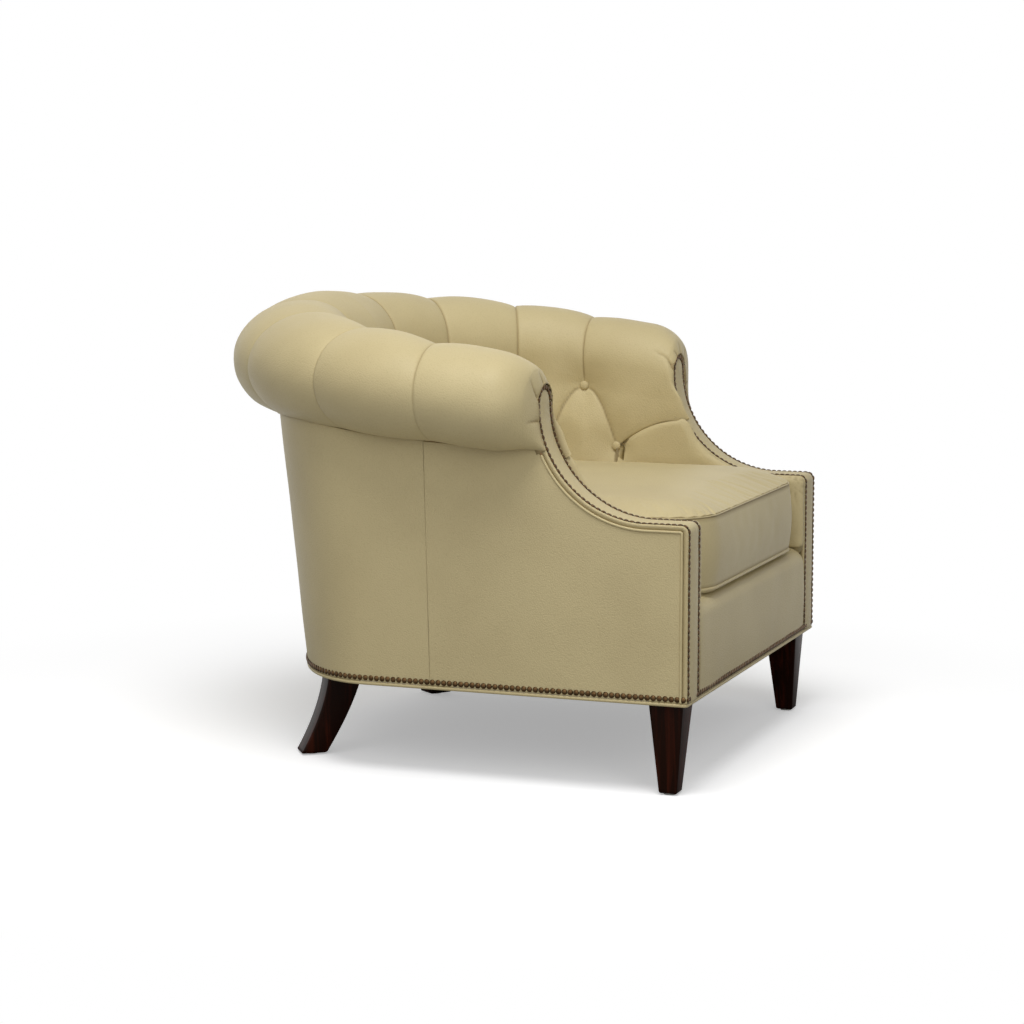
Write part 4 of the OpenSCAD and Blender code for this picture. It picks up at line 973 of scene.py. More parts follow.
# ---- arms -------------------------------------------------------------------------------
def arm_facing(side):
    """Padded strip: a section of rounded edges carried up the post, along the level, round the
    scoop and over the tip. It swells by 2 mm times one minus the squared share of the way to
    the nail line, and dips by a bell curve under the nails."""
    y, z, normal, run = facing_path()
    half = np.where(z > TIP_MID_Z, np.sqrt(np.maximum(TIP_R ** 2 - (z - TIP_MID_Z) ** 2, 1)), TIP_R)[:, None]
    edge = np.minimum(3.0, half * 0.5)
    a = np.radians(np.linspace(0, 90, 6))[None]
    f = np.linspace(0, 1, 43)[None, 1:-1]
    x = np.concatenate([-half + edge * (1 - np.cos(a)), mix(edge - half, half - edge, f),
                        half - edge * (1 - np.cos(a[:, ::-1])), half - 1, 1 - half], 1)
    deep = np.concatenate([edge * (1 - np.sin(a)), 0 * f + 0 * half, edge * (1 - np.sin(a[:, ::-1])),
                           0 * half + FACING_T, 0 * half + FACING_T], 1)
    from_middle = np.hypot(x, np.maximum(z - TIP_MID_Z, 0)[:, None])
    face = np.arange(x.shape[1]) < x.shape[1] - 2
    swell = 2.2 * np.maximum(0, 1 - (from_middle / 23) ** 2)
    dip = 1.3 * bell(from_middle - NAIL_LINE, 2.8) * (0.8 + 0.2 * np.cos(2 * np.pi * run / NAIL_PITCH))[:,
            None]
    rise = np.where(face, swell - dip - deep, -deep)
    points = np.stack([FACING_X + x, y[:, None] + normal[:, :1] * rise, z[:, None] + normal[:, 1:] * rise],
                      -1)
    points[..., 1:] += np.where(face, 0.25 * waves(points, 45, 5), 0)[..., None] * normal[:, None, :]
    # painted shade: darker over the rounded edges, in the dip under the nails and on the strip's hidden sides
    seam = np.where(face, np.clip(deep / 3, 0, 1) * 0.15 + dip / 1.3 * 0.62, 0.3)
    return shell(sided("arm_facing", side), points * [side, 1, 1], seam=seam)


def arm_welt(side):
    """Piping between facing and outside panel: a tube on the facing's path, set in by its depth."""
    y, z, normal, _ = facing_path(3.0)
    use = z < tuck_z(np.array((SCOOP_BACK - ROLL_SIDE) / MM_PER_DEG)) - 2
    inset = FACING_T + 2.25
    line = np.stack([0 * y + BODY_R - 0.3, y - normal[:, 0] * inset, z - normal[:, 1] * inset], 1)[use]
    line = resample(line, 2.5)
    return tube(sided("arm_welt", side), line * [side, 1, 1], 2.1, 12, (1, 0, 0))


def inside_arm(side):
    """Pad inside the arm: loops round its side view, first out and over a rounded edge whose
    height above the facing depends on the level, then inwards to a middle point. Each edge is
    x falling as a sine and height rising as a sine, then falling as a cosine."""
    y, z, normal, _ = facing_path(4.0)
    use = (z > DECK_Z + 0.3) & ((y < 200) | (z < seam_z(y) - 1.5)) & (z < SEAM_HIGH_Z - 1.5)
    line = np.stack([y - 1.5 * normal[:, 0], z - 1.5 * normal[:, 1]], 1)[use]
    rear, low = SEAM_Y - 0.3, DECK_Z + 0.3
    curve_y = np.linspace(line[-1, 0], rear, 40)[1:-1]
    outline = [(line, 0), (np.stack([curve_y, seam_z(curve_y) - 0.3], 1), 2),
               (np.array([[rear, mix(SEAM_LOW_Z - 1, low, f)] for f in np.linspace(0, 1, 32)[:-1]]), 1),
               (np.array([[mix(rear, line[0, 0], f), low] for f in np.linspace(0, 1, 60)[:-1]]), 1)]
    loop = np.concatenate([part for part, kind in outline])
    kind = np.concatenate([np.full(len(part), k) for part, k in outline])
    def eased(values):
        for _ in range(5):
            values = (np.roll(values, 1, 0) + values + np.roll(values, -1, 0)) / 3
        return values
    ahead = np.roll(loop, -1, 0) - np.roll(loop, 1, 0)
    outward = eased(np.stack([ahead[:, 1], -ahead[:, 0]], 1) / np.linalg.norm(ahead, axis=1)[:, None])
    middle = np.array([205.0, 372.0])
    if np.sum(outward * (loop - middle)) < 0:
        outward = -outward
    outward /= np.linalg.norm(outward, axis=1)[:, None]
    ray = middle - loop
    length = np.linalg.norm(ray, axis=1)
    inward = ray / length[:, None] / np.clip(np.sum(-outward * ray, 1) / length, 0.45, 1)[:, None]
    reach = eased(np.choose(kind, [22.0, 6.0, 9.0]))
    start_x = eased(np.choose(kind, [ARM_INNER_X, 311.0, 313.0]))
    proud = eased(np.where(kind == 0, np.interp(loop[:, 1], [455, 477, 498, 516], [0.8, 3.0, 8.5, 11.5]),
                           0.0))
    rings = [np.column_stack([0 * length + ARM_INNER_X + 12, loop + inward * 9]),
             np.column_stack([np.where(kind == 1, start_x + 1, np.maximum(start_x, ARM_INNER_X - 4) + 1.5),
                              loop + inward * 2])]
    foot = eased(1.0 * ((kind == 1) & (loop[:, 1] < low + 1)))
    drop = 24.0 * foot
    rings[0][:, 2] -= drop
    rings[1][:, 2] -= drop
    # painted shade: darker along the pad's outline where it tucks in, less so at its foot
    marks = [0.6 - 0.5 * foot, 0.8 - 0.7 * foot]
    for w in np.linspace(0, 1, 17):
        high = proud * np.sin(np.pi / 2 * min(w / 0.35, 1))
        fall = reach * (1 - np.cos(np.pi / 2 * max(0, w - 0.3) / 0.7))
        fall = fall + proud * max(0, w - 0.35) / 0.65
        at = loop + outward * high[:, None] + inward * fall[:, None]
        x = start_x - (start_x - INNER_X) * np.sin(np.pi / 2 * w) ** 0.9
        rings.append(np.column_stack([x, at]))
        marks.append(np.clip(0.75 - 3.2 * w, 0, 1) * np.where(kind == 0, 0.7, 1.0) * (1 - 0.8 * foot))
    edge = rings[-1][:, 1:]
    for s in np.linspace(0, 1, 26)[1:-1] ** 1.1:
        rings.append(np.column_stack([0 * length + INNER_X, edge + (middle - edge) * s]))
        marks.append(0 * length)
    rings = np.array(rings)
    level = step_up(rings[..., 2], 424, 452)
    rings[2:, :, 0] -= (2.2 * level * step_up(np.arange(len(rings)), 2, 16)[:, None] + 0.35
                        * waves(rings, 60, 9))[2:]
    button = np.hypot(rings[..., 1] - SEAM_Y, rings[..., 2] - SEAM_LOW_Z)
    under = np.clip(seam_z(rings[..., 1]) - rings[..., 2], 0, None)
    draw = 25 * np.exp(-(button / 27) ** 1.3) + 6 * np.exp(-under / 11) * step_up(rings[..., 1], 240, 300)
    rings[2:, :, 0] += np.minimum(draw, 24)[2:]
    corner = rings[..., 1:] - np.array([17.0, 407.0])
    away, angle = np.hypot(corner[..., 0], corner[..., 1]), np.arctan2(corner[..., 1], -corner[..., 0])
    pleat = 1.7 * bell(away - 14, 16) * np.maximum(0, np.cos(angle * 9)) ** 6 * (rings[...,
            0] < ARM_INNER_X - 1)
    rings[..., 0] += pleat
    # painted shade in the pleats at the top corner as well
    return shell(sided("inside_arm", side), rings * [side, 1, 1], seam=np.array(marks) + pleat * 0.25)


def arms():
    """Facings, welts and inside pads of both arms."""
    for side, name in ((1, "left"), (-1, "right")):
        dress(arm_facing(side), "leather", replaces=["arm_facing_" + name])
        dress(inside_arm(side), "leather", replaces=["inside_arm_" + name])
        dress(arm_welt(side), "piping", replaces=["arm_welt_" + name])


# ---- outside panels, base welt and apron ------------------------------------------------
def eased_edge(gap, radius=1.3, drop=0.9):
    """How far a face falls back near its edge: a quarter circle over the last radius."""
    f = 1 - np.clip(gap / radius, 0, 1)
    return drop * (1 - np.sqrt(1 - f ** 2))


def even_with_edges(length, step):
    """Distances along an edge: fine at both ends, even between."""
    fine = np.array([0, 0.35, 0.9, 1.7, 3.0, 5.0])
    return np.concatenate([fine, np.linspace(5, length - 5, max(3, int((length - 10) / step)))[1:-1],
                           length - fine[::-1]])


def outside_arm(side):
    """Taut panel from the scoop's welt to the side seam: columns up from the base to the scoop
    or the roll, over a rounded edge and back down 3 mm further in."""
    front = FACING_T + 4.3
    y = front + even_with_edges(423 - front, 4.0)
    back_turn = np.degrees(np.arcsin(np.clip((y - ROLL_SIDE) / ROLL_REACH, 0, 1)))
    turn = np.where(y < ROLL_SIDE, (y - ROLL_SIDE) / MM_PER_DEG, back_turn)
    scoop = SCOOP_Z - np.sqrt(np.maximum((SCOOP_R + front) ** 2 - np.maximum(y - SCOOP_FRONT, 0) ** 2, 0))
    top = np.where(y - SCOOP_FRONT < SCOOP_R + front, np.minimum(scoop, tuck_z(turn) - 0.3), tuck_z(turn)
                   - 0.3)
    share = even_with_edges(280, 6.0) / 280
    z = BODY_Z + (top - BODY_Z)[:, None] * share
    gap_row = np.minimum(y - y[0], y[-1] - y)[:, None]
    gap_column = np.minimum(z - BODY_Z, top[:, None] - z)
    fall = eased_edge(gap_row, 1.3, np.where(y < 300, 0.6, 0.3)[:, None]) + eased_edge(gap_column)
    slant = step_up(y, 360, 423)[:, None] * 10 * share
    outer = np.stack([BODY_R - fall, y[:, None] + slant, z], -1)
    taut = 0.45 * waves(outer, 130, 21) + 0.5 * np.exp(-(z - BODY_Z) / 9) * np.cos(2 * np.pi * y
            / NAIL_PITCH)[:, None]
    outer[..., 0] -= np.where(gap_column > 2, taut, 0) + 0.3
    inner = np.stack([0 * z + BODY_R - PANEL_T, outer[..., 1], z], -1)[:, [-1, 0]]
    # painted shade along the panel's edges: beside the welt and side seam, at the base and under the roll
    seam = np.concatenate([0.12 * np.exp(-gap_row / 1.2) + 0.3 * np.exp(-gap_column / 2.5), 0 * z[:, :2]], 1)
    return shell(sided("outside_arm", side), np.concatenate([outer, inner], 1) * [side, 1, 1], seam=seam)


def outside_back():
    """Taut panel round the back from side seam to side seam, standing on the body's half
    ellipse, which leans out with height."""
    first = np.degrees(np.arcsin(20 / ROLL_REACH))
    t = first + even_with_edges((180 - 2 * first) * MM_PER_DEG, 4.2) / MM_PER_DEG
    top = tuck_z(t) - 0.3
    share = even_with_edges(400, 8.0) / 400
    z = BODY_Z + (top - BODY_Z)[:, None] * share
    p, n = roll_line(t)
    gap_row = (np.minimum(t - t[0], t[-1] - t) * MM_PER_DEG)[:, None]
    gap_column = np.minimum(z - BODY_Z, top[:, None] - z)
    reach = body_reach(t[:, None], z)
    shift = -10 * (1 - share) * (1 - step_up(gap_row, 0, 60))
    taut = 0.6 * waves(np.stack([p[:, :1] + 0 * z, p[:, 1:] + 0 * z, z], -1), 150, 33)
    fall = eased_edge(gap_row, 1.3, 0.3) + eased_edge(gap_column) + np.where(gap_column > 2, taut, 0) + 0.3
    def placed(o, height):
        return np.stack([p[:, :1] + n[:, :1] * o, p[:, 1:] + n[:, 1:] * o + shift[:, :o.shape[1]], height],
                        -1)
    outer = placed(reach - fall, z)
    inner = placed(reach - PANEL_T, z)[:, [-1, 0]]
    # painted shade along the panel's edges: at the side seams, at the base and under the roll
    seam = np.concatenate([0.12 * np.exp(-gap_row / 1.2) + 0.3 * np.exp(-gap_column / 2.5), 0 * z[:, :2]], 1)
    return shell("outside_back_panel", np.concatenate([outer, inner], 1), seam=seam)


def body_outline(inset, z, step, corner=4.0):
    """Plan outline of the body at a height: straight front and sides, half an ellipse behind."""
    lean = BACK_LEAN * (z - LEG_H) / (545 - LEG_H)
    a, side_y, back = BODY_R - inset, BODY_SIDE + lean / 2, BODY_DEPTH + lean - inset
    w = np.radians(np.linspace(0, 90, 9))
    v = np.radians(np.linspace(0, 180, 400))
    arc = np.stack([a - corner + corner * np.sin(w), inset + corner - corner * np.cos(w)], 1)
    line = np.concatenate([arc, np.stack([a * np.cos(v), side_y + (back - side_y) * np.sin(v)], 1),
                           arc[::-1] * [-1, 1]])
    return resample(line, step, ring=True)


def outside_panels():
    """Outside arms, outside back and the welt round the base."""
    for side, name in ((1, "left"), (-1, "right")):
        dress(outside_arm(side), "leather", replaces=["outside_arm_" + name])
    dress(outside_back(), "leather", replaces=["outside_back_panel"])
    plan = body_outline(2.0, LEG_H + 3, 3.2)
    welt = tube("base_welt", at_height(plan, LEG_H + 3.0), 3.0, 12, (0, 0, 1),
                ring=True)
    dress(welt, "piping", replaces=["base_welt"])


def apron():
    """Padded rail cover: a profile with a full round top carried across, whose top falls away
    beside the facings as a quarter ellipse and whose face swells by a sine of the height."""
    half = ARM_INNER_X - 0.4
    x = -half + even_with_edges(2 * half, 4.5)
    gap = np.minimum(x + half, half - x)
    r = 27.0
    a = np.radians(np.linspace(0, 90, 15))
    profile = np.concatenate([
        np.stack([0 * np.linspace(0, 1, 26), np.linspace(BODY_Z, DECK_Z - r, 26)], 1)[:-1],
        np.stack([r - r * np.cos(a), DECK_Z - r + r * np.sin(a)], 1),
        [[40, DECK_Z - 0.3], [54, DECK_Z - 1.5], [59.6, DECK_Z - 5], [59.6, 240], [9, 240], [9, BODY_Z]]])
    side = 1 - np.sqrt(1 - (1 - np.clip(gap / 34, 0, 1)) ** 2)
    y, z = profile[None, :, 0] + 0 * x[:, None], profile[None, :, 1] + 0 * x[:, None]
    high = np.clip((z - 225) / (DECK_Z - 225), 0, 1)
    z = z - 5 * side[:, None] * high ** 1.5
    face = np.arange(len(profile)) < 40
    y = y + face * (3.5 * side[:, None] * high + eased_edge(gap, 2.5, 2.5)[:, None])
    rows = np.stack([x[:, None] + 0 * y, y, z], -1)
    taut = 2.4 * np.sin(np.pi * np.clip((z - BODY_Z) / 140, 0, 1)) * (1 - side[:, None]) + 0.6 * waves(rows,
            110, 41)
    taut = taut - 0.5 * np.exp(-(z - BODY_Z) / 9) * np.cos(2 * np.pi * x / NAIL_PITCH)[:, None]
    rows[..., 1] -= np.where(face & (z > BODY_Z + 0.5), taut, 0)
    # painted shade: darker at the ends beside the facings, along the bottom by the nails and on the hidden
    # back
    seam = np.where(face, 0.8 * np.exp(-gap / 2.0)[:, None] + 0.4 * np.exp(-(z - BODY_Z) / 3), 0.3)
    dress(shell("front_rail_cover", rows, seam=seam), "leather", replaces=["front_rail_cover"])


# ---- nails and buttons ------------------------------------------------------------------
def nails():
    """Domed heads at an even pitch: up the outer line of each facing, round the arch at its tip
    and down the inner line, and in one row round the base."""
    trim = bpy.context.scene.chair_trim
    r = trim.nail_width * 500
    head = turned([(r * 0.9, -0.9), (r, 0.25), (r * 0.86, 1.25), (r * 0.52, 2.15), (r * 0.18, 2.5)], 11)
    rim = np.concatenate([np.repeat([1.0, 0.75, 0.15, 0, 0], 11), [0, 0]])
    y, z, normal, run = facing_path(1.5)
    start = np.interp(BASE_NAIL_Z + NAIL_PITCH, z[:60], run[:60])
    tip = run[np.searchsorted(z, TIP_MID_Z - 0.02)]
    line, arch = tip - start, np.pi * NAIL_LINE
    total = 2 * line + arch
    at = np.linspace(0, total, int(round(total / NAIL_PITCH)) + 1)
    up_run = start + np.where(at < line, at, np.where(at > line + arch, total - at, line))
    w = np.clip((at - line) / NAIL_LINE, 0, np.pi)
    place = [np.interp(up_run, run, v) for v in (y, z, normal[:, 0], normal[:, 1])]
    centre = np.stack([FACING_X + NAIL_LINE * np.cos(w), place[0], place[1] + NAIL_LINE * np.sin(w)], 1)
    up = np.stack([0 * w, place[2], place[3]], 1)
    up /= np.linalg.norm(up, axis=1)[:, None]
    centre = centre - up * 0.5
    over = np.tile([1.0, 0, 0], (len(at), 1))
    for side, name in ((1, "left"), (-1, "right")):
        flip = np.array([side, 1, 1])
        dress(copies("facing_nails_" + name, head, centre * flip, up, over, 11, rim), "nail_brass")
    plan = body_outline(0.0, BASE_NAIL_Z, 1.0)
    run = np.arange(len(plan) + 1) * np.linalg.norm(plan[1] - plan[0])
    count = int(round(run[-1] / NAIL_PITCH))
    at = (np.arange(count) + 0.5) * run[-1] / count
    ring = np.concatenate([plan, plan[:1]])
    x, y = np.interp(at, run, ring[:, 0]), np.interp(at, run, ring[:, 1])
    before, after = ([np.interp(at + d, run, ring[:, k], period=run[-1]) for k in (0, 1)] for d in (-2, 2))
    ahead = np.stack(after, 1) - np.stack(before, 1)
    ahead /= np.linalg.norm(ahead, axis=1)[:, None]
    up = np.column_stack([ahead[:, 1], -ahead[:, 0], 0 * at])
    centre = np.column_stack([x, y, 0 * at + BASE_NAIL_Z]) - up * 0.4
    dress(copies("base_nails", head, centre, up, np.tile([0, 0, 1.0], (count, 1)), 11, rim), "nail_brass")


def buttons():
    """Covered buttons, turned from one profile with the shank that ties each down, square to
    the wall that they are drawn into."""
    profile = [(1.5, -9.5), (1.5, -0.3), (6.3, -0.2), (8.0, 0.6), (8.5, 1.9), (8.2, 3.2), (7.1, 4.4),
               (5.2, 5.2), (2.6, 5.7), (0.9, 5.8)]
    form = turned(profile, 26)
    # painted shade: each button is darker towards the wall, on its shank and the underside of its rim
    seam = np.concatenate([np.repeat([1, 1, 1, 0.8, 0.45, 0.2, 0.05, 0, 0, 0], 26), [0, 0]])
    for marks, row, name in ((ROLL_SEAMS, upper_z, "buttons_upper"), (LOW_BUTTONS, lower_z, "buttons_lower")):
        at = on_wall(marks, row(marks))
        n = roll_line(marks)[1]
        up = np.column_stack([-n, 0 * marks])
        centre = at - up * BUTTON_SINK
        dress(copies(name, form, centre, up, np.tile([0, 0, 1.0], (len(marks), 1)), 26, seam), "leather",
              replaces=[name])


# ---- cushion ----------------------------------------------------------------------------
def cushion_outline(inset):
    """Plan of the cushion: straight front, round front corners, straight sides, half ellipse."""
    a, r, b = SEAT_R - inset, CUSHION_CORNER_R - inset, SEAT_DEPTH - SEAT_SIDE - inset
    f = np.linspace(0, 1, 31)[:-1]
    w = f * np.pi / 2
    v = np.linspace(0, np.pi, 111)[:-1]
    half = np.concatenate([np.stack([-(a - r) * f, inset + 0 * f], 1),
                           np.stack([-(a - r + r * np.sin(w)), inset + r - r * np.cos(w)], 1),
                           np.stack([0 * f - a, mix(CUSHION_CORNER_R, SEAT_SIDE, f)], 1)])
    other = half[:0:-1] * [-1, 1]
    return np.concatenate([half, np.stack([-a * np.cos(v), SEAT_SIDE + b * np.sin(v)], 1),
                           [[a, SEAT_SIDE]], other])


def inflate(piece, pinned, cap):
    """Blows the cover up with Cloth: pressure 4, no gravity, seams pinned, twenty frames. No
    point may move further than the cap."""
    scene = bpy.context.scene
    points = np.empty(len(piece.data.vertices) * 3)
    piece.data.vertices.foreach_get("co", points)
    start = points.reshape(-1, 3).copy()
    held = piece.vertex_groups.new(name="seams")
    held.add([int(k) for k in pinned], 1.0, "REPLACE")
    cloth = piece.modifiers.new("pressure", "CLOTH")
    cloth.settings.quality = 5
    cloth.settings.mass = 0.3
    cloth.settings.vertex_group_mass = "seams"
    cloth.settings.use_pressure = True
    cloth.settings.uniform_pressure_force = 4
    cloth.settings.shrink_min = -0.012
    cloth.settings.effector_weights.gravity = 0
    cloth.point_cache.frame_start, cloth.point_cache.frame_end = 1, 20
    for number in range(1, 21):
        scene.frame_set(number)
    blown = piece.evaluated_get(bpy.context.evaluated_depsgraph_get()).to_mesh()
    blown.vertices.foreach_get("co", points)
    piece.evaluated_get(bpy.context.evaluated_depsgraph_get()).to_mesh_clear()
    move = points.reshape(-1, 3) - start
    length = np.linalg.norm(move, axis=1)
    move *= np.minimum(1, cap / np.maximum(length, 1e-9))[:, None]
    piece.modifiers.remove(cloth)
    piece.vertex_groups.remove(held)
    scene.frame_set(1)
    return start + move


def cushion_form():
    """Rows of the loose cushion: flat underside, boxing between its seams, crowned top whose
    height is a sine of the share of the way in. Returns the points and the seam rows."""
    crown = bpy.context.scene.chair_padding.crown * 1000
    middle = np.array([0, SEAT_DEPTH * 0.47])
    base = cushion_outline(CUSHION_CLEAR + 9)
    rows = [at_height(mix(middle, base, s), DECK_Z + 0.6) for s in np.linspace(0, 1, 16)[1:]]
    for inset, z in ((6, 300.6), (4.2, 303.0), (3.4, 306.0), (2.0, BOXING_LOW_Z)):
        rows.append(at_height(cushion_outline(CUSHION_CLEAR + inset), z))
    low = len(rows) - 2
    for f in np.linspace(0, 1, 19)[1:-1]:
        plan = cushion_outline(CUSHION_CLEAR + 2.0 - 1.6 * np.sin(np.pi * f))
        front = np.maximum(0, 1 - plan[:, 1] / CUSHION_CORNER_R)
        plan[:, 1] -= 3.0 * front * np.sin(np.pi * f)
        rows.append(at_height(plan, mix(BOXING_LOW_Z, BOXING_HIGH_Z, f)))
    for inset, z in ((2.0, BOXING_HIGH_Z), (4.0, HIGH_SEAM_Z)):
        rows.append(at_height(cushion_outline(CUSHION_CLEAR + inset), z))
    high = len(rows) - 1
    edge = cushion_outline(CUSHION_CLEAR + 3.0)
    for s in np.concatenate([[0.0], np.linspace(0.012, 0.97, 34) ** 1.25]):
        z = HIGH_SEAM_Z + 3.4 + (crown - 3.4) * math.sin(math.pi / 2 * s ** 0.62)
        rows.append(at_height(mix(edge, middle, s), z))
    return np.array(rows), low, high


def finer(grid, ring):
    """The same surface with twice the rows of points: each new point is nine sixteenths of its
    two neighbours less one sixteenth of the next two, so the old points stay where they are."""
    if ring:
        far = np.concatenate([grid[-1:], grid, grid[:2]])
    else:
        far = np.concatenate([2 * grid[:1] - grid[1:2], grid, 2 * grid[-1:] - grid[-2:-1]])
    between = (9 * (far[1:-2] + far[2:-1]) - far[:-3] - far[3:]) / 16
    both = np.empty((len(grid) + len(between),) + grid.shape[1:])
    both[0::2], both[1::2] = grid, between
    return both


def cushion():
    """Seat cushion, blown up with Cloth, and its two welts."""
    rows, low, high = cushion_form()
    count, columns = rows.shape[:2]
    piece = shell("seat_cushion", rows)
    pinned = np.concatenate([np.arange(columns) + k * columns for k in (low, high)])
    before = points_of(piece)
    points = inflate(piece, pinned, 0.012)
    move = points - before
    row = np.minimum(np.arange(len(points)) // columns, count - 1)
    front = step_up(-(before[:, 1] - FRONT_Y / 1000), -0.11, 0.0)
    sideways = np.where((row > low) & (row < high), mix(0.12, 0.55, front), 0.35)
    move[:, :2] *= sideways[:, None]
    move[:, 2] *= np.where(row < low, 0, 1)
    points = before + move
    top = points[:, 2].max()
    seam_level = HIGH_SEAM_Z / 1000
    above = points[:, 2] > seam_level
    raised = (points[above, 2] - seam_level) * (CUSHION_TOP - seam_level) / (top - seam_level)
    points[above, 2] = seam_level + raised
    grid = points[:count * columns].reshape(count, columns, 3)
    boxing = grid[low + 1:high]
    for _ in range(4):
        boxing[:] = (np.roll(boxing, 1, 1) + 2 * boxing + np.roll(boxing, -1, 1)) / 4
    run = np.arange(columns) * 2 * np.pi / columns
    pucker = 0.0003 * (np.sin(run * 61) + np.sin(run * 43 + 1.3) * np.sin(run * 7))
    near = np.exp(-np.abs(np.arange(count) - high - 3) / 3.0) * (np.arange(count) > high)
    grid[..., 2] += pucker[None] * near[:, None]
    swell = 0.0009 * waves(grid[high + 1:] * 1000, 160, 51)
    grid[high + 1:, :, 2] += swell * step_up(np.arange(count - high - 1), 0, 8)[:, None]
    # painted shade along the two seams, on the rows at and beside the welts
    seam = np.zeros((count, columns))
    seam[high], seam[high - 1], seam[high + 1], seam[low], seam[low + 1] = 1, 0.5, 0.45, 1, 0.6
    bpy.data.objects.remove(piece)
    grid = finer(finer(grid, False).swapaxes(0, 1), True).swapaxes(0, 1)
    seam = finer(finer(seam, False).T, True).T
    grid = grid * 1000 - [0, FRONT_Y, 0]
    dress(shell("seat_cushion", grid, seam=seam), "leather", "cushion", ["seat_cushion"])
    plan = resample(cushion_outline(CUSHION_CLEAR + 3.0), 3.0, ring=True)
    low_welt = tube("cushion_welt_low", at_height(plan, LOW_SEAM_Z), 3.0, 12, (0, 0, 1), ring=True)
    dress(low_welt, "piping", "cushion", ["cushion_welt_low"])
    plan = resample(cushion_outline(CUSHION_CLEAR + 2.6), 3.0, ring=True)
    high_welt = tube("cushion_welt_high", at_height(plan, HIGH_SEAM_Z), 1.1, 8, (0, 0, 1), ring=True)
    dress(high_welt, "piping", "cushion", ["cushion_welt_high"])


# ---- legs and seat support --------------------------------------------------------------
def rounded_ring(corners, radius, steps=5):
    """Four corners of a section, each rounded by a quarter of a circle between its two sides."""
    corners = np.asarray(corners, float)
    before, after = np.roll(corners, 1, 0) - corners, np.roll(corners, -1, 0) - corners
    before /= np.linalg.norm(before, axis=1)[:, None]
    after /= np.linalg.norm(after, axis=1)[:, None]
    w = np.radians(np.linspace(0, 90, steps))[None, :, None]
    turn = before[:, None] * (1 - np.sin(w)) + after[:, None] * (1 - np.cos(w))
    return (corners[:, None] + radius * turn).reshape(-1, 2)


def legs():
    """Tapered square front legs and splayed sabre back legs: rounded sections lofted from the
    foot, which has a small chamfer, to the rail."""
    fs = np.concatenate([[0, 0.004, 0.012], np.linspace(0.04, 1, 25)])
    front, back = [], []
    for f in fs:
        z = mix(3.0, BODY_Z, f)
        chamfer = 1.5 * max(0, 1 - f / 0.012)
        x0, x1, y0, y1 = mix(334.5, 312, f), mix(364, 369, f), mix(22, 11, f), mix(51.5, 68, f)
        ring = rounded_ring([[x0 + chamfer, y0 + chamfer], [x1 - chamfer, y0 + chamfer],
                             [x1 - chamfer, y1 - chamfer], [x0 + chamfer, y1 - chamfer]], 2.6)
        front.append(at_height(ring, z))
        splay = SPLAY * (1 - f) ** 1.8 - SPLAY
        deep, wide = mix(43, 60, f ** 1.5), mix(43, 49, f)
        corner = BACK_LEG - ALONG * splay
        ring = rounded_ring([corner + ACROSS * u + ALONG * w for u, w in (
            (chamfer, chamfer), (wide - chamfer, chamfer),
            (wide - chamfer, deep - chamfer), (chamfer, deep - chamfer))], 3.2)
        back.append(at_height(ring, z))
    for rings, where in ((front, "front"), (back, "back")):
        for side, name in ((1, "left"), (-1, "right")):
            node = "leg_" + where + "_" + name
            dress(shell(node, np.array(rings) * [side, 1, 1]), "dark_wood", replaces=[node])


def seat_support():
    """Deck pad under the cushion, and the dust cover stretched under the frame round the legs."""
    a, y0, b = SEAT_R - 1.0, 61.0, SEAT_DEPTH - SEAT_SIDE - 1.0
    def deck_plan(inset):
        w = np.radians(np.linspace(0, 90, 9))
        v = np.linspace(0, np.pi, 200)
        corner = np.stack([a - inset - 8 + 8 * np.sin(w), y0 + inset + 8 - 8 * np.cos(w)], 1)
        curve = np.stack([(a - inset) * np.cos(v), SEAT_SIDE + (b - inset) * np.sin(v)], 1)
        return np.concatenate([corner, curve, corner[::-1] * [-1, 1]])
    centre = np.array([0, 330.0])
    rows = [at_height(mix(centre, deck_plan(4), s), 238.6) for s in np.linspace(0, 1, 6)[1:]]
    rows += [at_height(deck_plan(q), z) for q, z in
             ((0.6, 242), (0, 250), (0, 268), (0, 282), (0.8, 288), (3, 293), (7, 296), (12, 297.4))]
    rows += [at_height(mix(deck_plan(16), centre, s), 298.9 - 1.2 * (1 - s) ** 2)
             for s in np.linspace(0, 1, 22)[:-1]]
    rows = np.array(rows)
    rows[13:, :, 2] -= 0.4 + 0.4 * waves(rows[13:], 90, 61)
    rows[..., 2] = np.minimum(rows[..., 2], DECK_Z - 0.1)
    dress(shell("seat_deck", rows), "black_cloth", replaces=["seat_deck"])

    edge = 17.0
    v = np.radians(np.linspace(0, 180, 241))
    plan = np.stack([(BODY_R - edge) * np.cos(v), BODY_SIDE + (BODY_DEPTH - BODY_SIDE - edge) * np.sin(v)], 1)
    # the leg's outline, 1.5 mm clear, replaces the part of the edge that it stands over
    top = BACK_LEG + SPLAY * ALONG
    notch = [top - ACROSS * 1.5 + ALONG * 61.5, top + ACROSS * 50.5 + ALONG * 61.5]
    u = (plan - top) @ ACROSS
    right = np.where((u > -1.5) & (u < 50.5) & (plan[:, 0] > 0))[0]
    first, last = plan[right[0]], plan[right[-1]]
    half = np.concatenate([plan[:right[0]], [first, notch[0], notch[1], last], plan[right[-1] + 1:121]])
    front = np.array([[311.0, edge], [311.0, 69.0], [BODY_R - edge, 69.0]])
    line = np.concatenate([front, half])
    line = np.concatenate([line, line[::-1][1:] * [-1, 1]])
    line = resample(line, 6.0, ring=True)
    middle = np.array([0, 380.0])
    s = np.linspace(0, 1, 20)[1:]
    sag = 2.6 * (1 - s ** 3)
    lower = [at_height(mix(middle, line, k), COVER_LOW_Z - d) for k, d in zip(s, sag)]
    upper = [at_height(mix(middle, line, k), COVER_HIGH_Z - d) for k, d in zip(s[::-1], sag[::-1])]
    cover = shell("dust_cover", np.array(lower + upper))
    dress(cover, "black_cloth", replaces=["dust_cover"])


